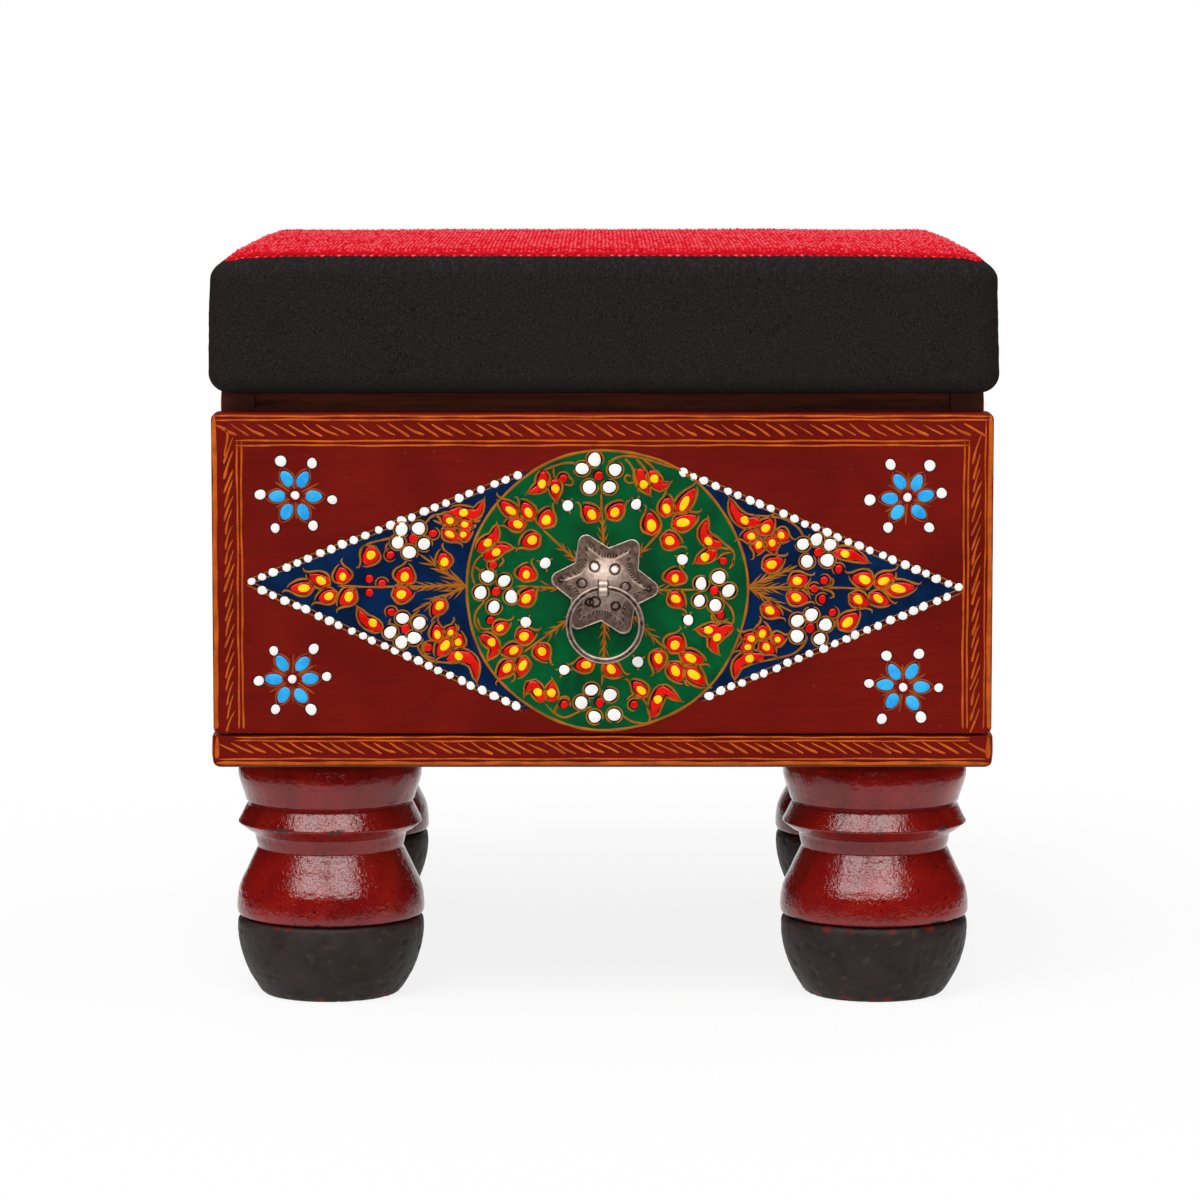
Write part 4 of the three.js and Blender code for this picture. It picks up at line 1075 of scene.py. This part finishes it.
def add_plate(silver):
    low, high = millimetres("pull_backplate")
    middle = (low + high) / 2
    rings, segments = 46, 264
    vertices, polish = [], []
    for i in range(rings + 2):
        share = 0.02 + 0.98 * (min(i, rings) / rings) ** 0.9
        for k in range(segments):
            angle = math.tau * k / segments
            outline = star_radius(angle)
            spot = cmath.rect(outline * share, angle)
            height, bright = plate_height(outline * share, angle, outline) if i <= rings else (0.0, 0.7)
            vertices.append(Vector((middle.x + spot.real, high.y - height, middle.z + spot.imag)) * MM)
            polish.append(bright)
    faces = capped(rings + 2, segments, turned_out=True)
    plate = skin("pull_plate", vertices, faces, silver, "drawer", "aged_silver", polish=polish)
    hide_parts("pull_backplate")


def add_ring(silver):
    """The finger ring: flattened a little at its sides, and thinner where it has worn."""
    low, high = millimetres("pull_ring")
    middle = (low + high) / 2
    wire = (high.y - low.y) / 2
    reach = (high.x - low.x) / 2 - wire
    segments, around = 120, 18
    vertices, polish = [], []
    for i in range(segments):
        angle = math.tau * i / segments
        out = Vector((math.cos(angle), 0, math.sin(angle)))
        thick = wire * (1 - 0.05 * (1 + noise.noise(out * 2.2)))
        for j in range(around):
            turn = math.tau * j / around
            flat = 1 - 0.1 * abs(math.sin(turn)) ** 6
            spot = out * (reach + thick * math.cos(turn)) + Vector((0, thick * math.sin(turn) * flat, 0))
            vertices.append((middle + spot) * MM)
            # Painted highlight: the wire is lighter along its inner and outer edges and darker across its
            # front.
            polish.append(0.12 + 0.75 * near(abs(math.cos(turn)) - 0.72, 0.2) + 0.14 * noise.noise(spot / 3))
    faces = net(segments, around, True, True)
    ring = skin("finger_ring", vertices, faces, silver, "ring", "aged_silver", polish=polish)
    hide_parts("pull_ring")


# The staple's strap seen from the side, as y and z in millimetres: its loop goes round the finger ring.
STRAP_LOOP = (
    (-188.0, 207.8), (-190.6, 206.6), (-193.2, 205.5), (-195.4, 205.6), (-196.7, 206.6), (-197.0, 208.2),
    (-196.5, 209.9), (-196.7, 211.4), (-195.9, 212.7), (-194.0, 213.3), (-191.2, 212.2), (-188.0, 210.6),
)
# The strap narrows where it meets the ring: height, by how much and over what length.
STRAP_WAISTS = ((209.9, 0.5, 0.9), (205.4, 1.6, 0.6))
LOOP_BACK = -193
# The strap's cut section, as shares of its half width and half thickness.
STRAP_SECTION = (
    (-1, 0.4), (-0.9, 1), (-0.64, 1), (0.64, 1), (0.9, 1), (1, 0.4), (1, -0.4), (0.9, -1), (0.64, -1),
    (-0.64, -1), (-0.9, -1), (-1, -0.4),
)
STRAP_WIDTH = 5.4
STRAP_THICK = 0.6
STRAP_SHIFT = -0.9


def add_staple(silver):
    """A soft metal strap bent round the ring, with its two legs spread flat behind the drawer front."""
    low, high = millimetres("pull_staple")
    legs_back = high.y - STRAP_THICK / 2
    foot = ((legs_back, low.z + 0.4), (legs_back, 205.6), (legs_back - 2, 207.6))
    head = ((legs_back - 2, 210.4), (legs_back, 212.4), (legs_back, high.z - 0.4))
    path = along(*[complex(y, z) for y, z in (*foot, *STRAP_LOOP, *head)], step=0.5)
    middle = (low.x + high.x) / 2 + STRAP_SHIFT
    vertices, polish = [], []
    for i, point in enumerate(path):
        ahead, behind = path[min(i + 1, len(path) - 1)], path[max(i - 1, 0)]
        out = 1j * (ahead - behind) / abs(ahead - behind) * STRAP_THICK / 2
        narrow = sum(depth * near(point.imag - level, length) for level, depth, length in STRAP_WAISTS)
        half = (STRAP_WIDTH - (narrow if point.real < LOOP_BACK else 0.0)) / 2
        for across, lift in STRAP_SECTION:
            spot = point + out * lift
            vertices.append(Vector((middle + half * across, spot.real, spot.imag)) * MM)
            # Painted shade: the strap's face is light and its sides dark.
            polish.append(0.62 if abs(across) < 0.7 else 0.0)
    faces = capped(len(path), len(STRAP_SECTION))
    strap = skin("staple_strap", vertices, faces, silver, "drawer", "aged_silver", polish=polish)
    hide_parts("pull_staple")


# Padded seat

# The cushion's shape, in millimetres
CORNER = 17.0
INNER_CORNER = 3.0
UNDER_ROUND = 8.5
UNDER_SAG = 1.2
TOP_ROUND = 10.5
TOP_BULGE = 0.6
CREST_LIFT = 2.3
DRAW_IN = 1.2
CLOTH_THICK = 0.9
TURN_UNDER = 22.0
FLAT_UNDER = 18.0
SPREAD = 1.15
LEAN_RIGHT = 0.55
# The band ends where its rounded top edge has turned by this many degrees.
BAND_END = 74
# How far it has sunk: at its back, along its sides and at its corners
SETTLE = 3.8
SIDE_FALL = 1.7
CORNER_FALL = 2.8
# The cloth simulation: grid size, height held still, pressure, frames and longest move
SIM_VOXEL = 6.0
SIM_HELD = 14.0
SIM_PRESSURE = 1.0
SIM_FRAMES = 20
SIM_CAP = 0.9

# The seat's middle and half its size in plan, as complex numbers: across plus back times 1j
SEAT_MIDDLE = complex(0, (SEAT_LOW.y + SEAT_HIGH.y) / 2)
SEAT_REACH = complex(SEAT_HIGH.x - SEAT_LOW.x, SEAT_HIGH.y - SEAT_LOW.y) / 2
RAIL_FRONT = millimetres("front_top_rail")[0].y


def seam_drop(p):
    """How far the seat has sunk at a point: most at its corners, and towards its back."""
    across = abs(p.real) / SEAT_REACH.real
    deep = (p - SEAT_MIDDLE).imag / SEAT_REACH.imag
    fall = min(1.0, max(0.0, (across - 0.9) / 0.065))
    sunk = SETTLE * ((1 + min(deep, 1)) / 2) ** 4 * (1 - 0.45 * min(across, 1) ** 8)
    return SIDE_FALL * fall**2 * (3 - 2 * fall) + CORNER_FALL * min(across, abs(deep)) ** 6 + sunk


def seat_outline(inset, shares, arc_steps):
    """Points round the seat, a distance in from its widest outline, with its sides drawn in."""
    half_x, half_y = SEAT_REACH.real - inset, SEAT_REACH.imag - inset
    corner = max(CORNER - inset, INNER_CORNER)
    arc = [corner * turn_of(90 * k / arc_steps) for k in range(arc_steps + 1)]
    points = []
    for turn in range(4):
        out, far = (half_x, half_y) if turn % 2 == 0 else (half_y, half_x)
        local = [complex(out - DRAW_IN * (1 - s * s), (far - corner) * s) for s in shares]
        local += [complex(out - corner, far - corner) + p for p in arc]
        points.extend(SEAT_MIDDLE + p * 1j**turn for p in local)
    return points


def band_section():
    """The band's cut section as inset and height, from its turned-under edge up to the top seam."""
    floor, crest = SEAT_LOW.z, SEAT_HIGH.z + CREST_LIFT
    section = [(TURN_UNDER, floor), (FLAT_UNDER, floor)]
    for k in range(9):
        out = turn_of(270 - 90 * k / 8)
        section.append((UNDER_ROUND * (1 + out.real), floor + UNDER_ROUND * (1 + out.imag)))
    low, high = floor + UNDER_ROUND, crest - TOP_ROUND
    for k in range(1, 16):
        share = k / 16
        section.append((TOP_BULGE * min(1.0, 1.25 * share), low + (high - low) * share))
    for k in range(9):
        out = turn_of(180 - BAND_END * k / 8)
        section.append((TOP_BULGE + TOP_ROUND * (1 + out.real), high + TOP_ROUND * out.imag))
    return section


def swell():
    """Lets a coarse copy of the seat swell as cloth over its foam, and says how far each place moves."""
    section = band_section()
    shares = [-0.96 + 1.92 * k / 30 for k in range(31)]
    points = []
    for inset, height in section:
        ring = seat_outline(inset, shares, 5)
        points.extend(Vector((p.real, p.imag, height)) * MM for p in ring)
    seat = put("coarse_seat", mesh_of("coarse_seat", points, capped(len(section), len(ring))))
    scene = bpy.context.scene

    def settled():
        return seat.evaluated_get(bpy.context.evaluated_depsgraph_get())

    remesh = seat.modifiers.new("even", "REMESH")
    remesh.mode = "VOXEL"
    remesh.voxel_size = SIM_VOXEL * MM
    scene.frame_set(1)
    seat.data = bpy.data.meshes.new_from_object(settled())
    seat.modifiers.remove(remesh)
    before = [v.co.copy() for v in seat.data.vertices]
    held = seat.vertex_groups.new(name="held")
    held.add([i for i, spot in enumerate(before) if spot.z < (SEAT_LOW.z + SIM_HELD) * MM], 1.0, "REPLACE")
    settings = seat.modifiers.new("cloth", "CLOTH").settings
    settings.quality = 6
    settings.use_pressure = True
    settings.uniform_pressure_force = SIM_PRESSURE
    settings.vertex_group_mass = "held"
    settings.effector_weights.gravity = 0
    for step in range(1, SIM_FRAMES + 1):
        scene.frame_set(step)
    moves = [(v.co - start) / MM for v, start in zip(settled().data.vertices, before)]
    moves = [move * min(1.0, SIM_CAP / max(move.length, 1e-6)) for move in moves]
    scene.frame_set(1)
    bpy.data.objects.remove(seat)
    tree = KDTree(len(before))
    for i, spot in enumerate(before):
        tree.insert(spot / MM, i)
    tree.balance()

    def moved(spot):
        close = [(moves[i], 1 / (gap + 1)) for _, i, gap in tree.find_n(spot, 4)]
        return sum((move * weight for move, weight in close), Vector()) / sum(weight for _, weight in close)

    return moved


def add_band(swell_of):
    """The black band: drawn tight, lightly puckered along its top seam and creased at the corners."""
    shares = [-0.99 + 1.98 * k / 123 for k in range(124)]
    section = band_section()
    vertices, seam = [], []
    for inset, height in section:
        ring = seat_outline(inset, shares, 14)
        up = (height - SEAT_LOW.z) / (SEAT_HIGH.z - SEAT_LOW.z)
        for p in ring:
            out = Vector((p.real, (p - SEAT_MIDDLE).imag, 0)).normalized()
            wave = 0.9 * noise.noise(Vector((p.real / 60, p.imag / 60, height / 40)))
            pucker = noise.noise(Vector((p.real / 4.5, p.imag / 4.5, 0))) * 0.7 * max(0.0, up - 0.72) / 0.28
            gather = noise.noise(Vector((p.real / 9, p.imag / 9, 9))) * 0.4 * max(0.0, 0.2 - up) / 0.2
            lift = 0.0 if inset > TOP_ROUND else wave + pucker + gather
            past_rail = min(1.0, max(0.0, (RAIL_FRONT - p.imag) / 8))
            spot = Vector((p.real, p.imag, height))
            spot.z -= seam_drop(p) * max(0.0, up - 0.5) / 0.5
            spot.z -= UNDER_SAG * past_rail * max(0.0, 1 - up / 0.3)
            spot.x += math.copysign(SPREAD, p.real) * min(1.0, abs(p.real) / 40) + LEAN_RIGHT
            vertices.append((spot + out * lift + swell_of(spot)) * MM)
            seam.append(max(0.0, up - 0.84) / 0.16)
    faces = net(len(section), len(ring), False, True)
    band = skin("seat_band", vertices, faces, black_cloth(), "stool", "black_cloth", seam=seam)
    solid = band.modifiers.new("cloth", "SOLIDIFY")
    solid.thickness = CLOTH_THICK * MM
    solid.offset = -1
    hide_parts("seat_border_cover", "seat_foam")


# The weave: two rows to a yarn and four columns to a pick, with a beaded edge along the seam
YARN = 2.0
PICK = 4
BEAD = 0.4
TOP_INSET = 8.4
TOP_CORNER = CORNER - TOP_INSET + 3
# The top's rounded rim: how far in it starts and how high it stands
RIM = 5.0
RIM_RISE = 0.6
# Rings past the top's edge, turned under along the seam: how far down and out each one goes.
HEM = ((0.5, 0.5), (1.0, 0.2), (1.6, -1.6))


def eased(a, b, rounding):
    """A point of a square grid, moved so that its square ring has round corners."""
    low, high = sorted((abs(a), abs(b)))
    inner = high - rounding
    if not rounding or low <= inner:
        return a, b
    angle = math.radians(45 * (low - inner) / rounding)
    small, large = inner + rounding * math.sin(angle), inner + rounding * math.cos(angle)
    x, y = (large, small) if abs(a) >= abs(b) else (small, large)
    return math.copysign(x, a), math.copysign(y, b)


def strayed(x, y, coarse, fine):
    """How far a yarn wanders from its place."""
    broad = noise.noise(Vector((x / 9, y / 9, coarse)))
    return 1.1 * broad + 0.9 * noise.noise(Vector((x / 2.1, y / 2.1, fine)))


def add_top(swell_of):
    """The red top panel, woven in relief, with its edge turned under along the seam."""
    half = SEAT_REACH.real - TOP_INSET
    count = 2 * round(half / YARN)
    seam = SEAT_HIGH.z + CREST_LIFT
    rows = [chance.uniform(-0.2, 0.2) for _ in range(4 * count)]
    picks = {}

    def crossing(k, l):
        if (k, l) not in picks:
            picks[k, l] = chance.uniform(-0.5, 0.5)
        return picks[k, l] + rows[l + count]

    side = 2 * count + 1
    step = half / count
    vertices, yarn = [], []
    for j in range(side):
        for i in range(side):
            a, b = (i - count) * step, (j - count) * step
            low, high = sorted((abs(a), abs(b)))
            share = high / half
            x, y = eased(a, b, TOP_CORNER * max(0.0, (share - 0.9) / 0.1))
            drawn = DRAW_IN * share**6
            if abs(a) >= abs(b):
                x -= math.copysign(drawn * (1 - (y / half) ** 2), x)
            else:
                y -= math.copysign(drawn * (1 - (x / half) ** 2), y)
            row = j // 2
            cycle = i / PICK + (row % 2) / 2
            bump = 0.62 * math.cos(math.tau * cycle) + crossing(round(cycle), row) if j % 2 == 0 else -0.3
            edge = min(1.0, (half - high) / RIM)
            upright = math.sqrt(1 - (1 - edge) ** 2)
            rim = RIM_RISE * upright * (1 - 0.4 * (low / half) ** 4)
            height = seam - seam_drop(SEAT_MIDDLE + complex(x, y)) + rim
            height += 0.5 * edge * noise.noise(Vector((x / 55, y / 55, 3))) + 1.2 * bump * upright
            if abs(a) > abs(b):
                x += math.copysign(1.2 * bump * (1 - edge), x)
            else:
                y += math.copysign(1.2 * bump * (1 - edge), y)
            loose = 0.4 * edge + 0.15
            x += loose * strayed(x, y, 21, 5)
            y += loose * strayed(x, y, 33, 8)
            spot = Vector((x * (1 + SPREAD / half) + LEAN_RIGHT, SEAT_MIDDLE.imag + y, height))
            vertices.append((spot + swell_of(spot)) * MM)
            # The yarn mask follows the weave's height: crests are painted lighter as highlight and gaps
            # darker as shade.
            yarn.append(min(1.0, max(0.0, 0.42 + bump * 0.55)))
    faces = net(side, side)
    hem = list(range(side))
    hem += [j * side + side - 1 for j in range(1, side)]
    hem += [(side - 1) * side + i for i in range(side - 2, -1, -1)]
    hem += [j * side for j in range(side - 2, 0, -1)]
    outer = hem
    for turn, (drop, draw) in enumerate(HEM):
        start = len(vertices)
        for place, index in enumerate(hem):
            top = vertices[index]
            out = Vector((top.x, top.y - SEAT_MIDDLE.imag * MM, 0)).normalized()
            bead = math.cos(math.tau * (place / PICK + turn / 2))
            puff = 0.3 * noise.noise(top * 300) + BEAD * bead
            # Painted light on the beaded edge: each bead's colour follows its height.
            vertices.append(top + out * (draw + puff) * MM - Vector((0, 0, (drop + puff) * MM)))
            yarn.append(0.42 + 0.22 * bead + 0.3 * noise.noise(top * 900))
        fresh = list(range(start, len(vertices)))
        loop = zip(outer, fresh, fresh[1:] + fresh[:1], outer[1:] + outer[:1])
        faces.extend(loop)
        outer = fresh
    top = skin("seat_top", vertices, faces, red_weave(), "stool", "red_weave", yarn=yarn)
    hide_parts("seat_top_cover")


# Bare and painted boards that keep their CAD shape


def dress(node, material):
    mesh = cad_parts[node].data
    mesh.materials.clear()
    mesh.materials.append(material)


def dress_boards():
    brown = grained("brown_wood", tint(128, 56, 30), tint(34, 12, 5), "X", 0.6)
    looks = {
        ("drawer_side", "drawer_bottom", "leg_dowel", "seat_board"): grained("pale_wood", PALE, OAK, "Y"),
        ("drawer_back",): grained("pale_wood_across", PALE, OAK, "X"),
        ("corner_block", "front_top_rail"): brown,
        ("base_screw", "seat_screw"): steel(),
        ("drawer_front",): painted_wood("painted_front", "Y", 1, PALE),
        ("base_board",): painted_wood("painted_base", "Z", -1),
        ("side_panel_left",): painted_wood("painted_side_left", "Y", -1, tint(104, 52, 40)),
        ("side_panel_right",): painted_wood("painted_side_right", "Y", -1, tint(104, 52, 40)),
        ("back_panel",): painted_wood("painted_back", "Y", -1),
    }
    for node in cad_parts:
        for starts, material in looks.items():
            if node.startswith(starts):
                dress(node, material)


# Studio

LENS = 150.81
SENSOR = 36
CAMERA_PLACE = (-0.0012, FRONT_LOW.y * MM - 2.433, 0.4705)
CAMERA_TILT = 6.28
LIGHT_AIM = Vector((0, -0.1, 0.12))
SKY_LEVEL = 0.6
FLOOR_GLOW = 0.86


def add_camera():
    data = bpy.data.cameras.new("camera")
    data.lens = LENS
    data.sensor_width = SENSOR
    camera = put("camera", data)
    camera.location = CAMERA_PLACE
    camera.rotation_euler = (math.radians(90 - CAMERA_TILT), 0, 0)
    bpy.context.scene.camera = camera


def stage_plane(name, corners, material):
    mesh = mesh_of(name, corners, [tuple(range(len(corners)))])
    mesh.materials.append(material)
    plane = put(name, mesh)
    return plane


def add_light(name, kind, azimuth, elevation, distance, **settings):
    """A light that shines on the drawer front's middle, from a bearing round the stool."""
    data = bpy.data.lights.new(name, kind)
    for key, value in settings.items():
        setattr(data, key, value)
    light = put(name, data)
    a, e = math.radians(azimuth), math.radians(elevation)
    back = Vector((math.sin(a) * math.cos(e), -math.cos(a) * math.cos(e), math.sin(e)))
    light.location = LIGHT_AIM + back * distance
    light.rotation_euler = back.to_track_quat("Z", "Y").to_euler()
    return light


def seen_directly(nodes, links):
    """One for a ray from the camera or off a glossy or clear surface, and zero for any other."""
    path = nodes.new("ShaderNodeLightPath")
    seen = path.outputs["Is Camera Ray"]
    for other in ("Is Glossy Ray", "Is Transmission Ray"):
        both = nodes.new("ShaderNodeMath")
        both.operation = "MAXIMUM"
        links.new(seen, both.inputs[0])
        links.new(path.outputs[other], both.inputs[1])
        seen = both.outputs[0]
    return seen


def matt(name, level):
    return Finish(name, Base_Color=(level, level, level, 1), Roughness=0.9, Specular_IOR_Level=0.0)


def floor_material():
    """White card: it takes the stool's shadow, and looks white where nothing shades it."""
    finish = matt("floor", 0.93)
    nodes, links = finish.tree.nodes, finish.tree.links
    share = finish.math("MULTIPLY", seen_directly(nodes, links), FLOOR_GLOW)
    glow = finish.node("Emission", {"Color": (1, 1, 1, 1), "Strength": 1.0})
    blend = finish.node("MixShader", {"Fac": share, 1: finish.shader.outputs[0], 2: glow.outputs[0]})
    links.new(blend.outputs[0], nodes["Material Output"].inputs["Surface"])
    return finish.material


def add_studio():
    """A white floor and sky. Dark drapes and mats show in glossy surfaces only."""
    reach = 40
    floor = [(-reach, -reach, 0), (reach, -reach, 0), (reach, reach, 0), (-reach, reach, 0)]
    stage_plane("floor", floor, floor_material())
    dark = matt("dark_cloth", 0.01).material
    width, gap, near_edge, far, back, tall, low = 4.2, 0.5, -0.4, -4.4, 3.5, 6.5, 0.002
    drapes = {
        "dark_drape": (-width, far, width, far),
        "dark_drape_left": (-width, far, -1.4, back),
        "dark_drape_right": (width, far, 2.0, back),
    }
    mats = {
        "dark_mat": (-width, far, width, near_edge),
        "dark_mat_left": (-width, near_edge, -gap, back),
        "dark_mat_right": (gap, near_edge, width, back),
    }
    cards = {k: [(a, b, 0), (c, d, 0), (c, d, tall), (a, b, tall)] for k, (a, b, c, d) in drapes.items()}
    cards |= {k: [(a, b, low), (c, b, low), (c, d, low), (a, d, low)] for k, (a, b, c, d) in mats.items()}
    for name, corners in cards.items():
        card = stage_plane(name, corners, dark)
        card.visible_camera = card.visible_diffuse = card.visible_shadow = False
    key = add_light("key", "SUN", -18, 58, 4, energy=1.78, angle=math.radians(34))
    key.visible_glossy = False
    pane_shape = {"energy": 32, "shape": "RECTANGLE", "size": 1.45, "size_y": 0.95}
    for name, azimuth in (("pane_left", -34), ("pane_right", 17)):
        pane = add_light(name, "AREA", azimuth, 41, 2.4, **pane_shape)
        pane.visible_diffuse = pane.visible_camera = False
    world = bpy.data.worlds.new("studio")
    bpy.context.scene.world = world
    world.use_nodes = True
    nodes, links = world.node_tree.nodes, world.node_tree.links
    level = nodes.new("ShaderNodeMapRange")
    level.inputs["To Min"].default_value = SKY_LEVEL
    level.inputs["To Max"].default_value = 1.0
    links.new(seen_directly(nodes, links), level.inputs["Value"])
    links.new(level.outputs[0], nodes["Background"].inputs["Strength"])
    nodes["Background"].inputs["Color"].default_value = (1, 1, 1, 1)
    bpy.context.scene.view_settings.view_transform = "Standard"


add_camera()
add_studio()
dress_boards()
add_legs()
SILVER = aged_silver()
add_plate(SILVER)
add_ring(SILVER)
add_staple(SILVER)
swell_of = swell()
add_band(swell_of)
add_top(swell_of)
paint_front()
paint_base()
paint_sides()
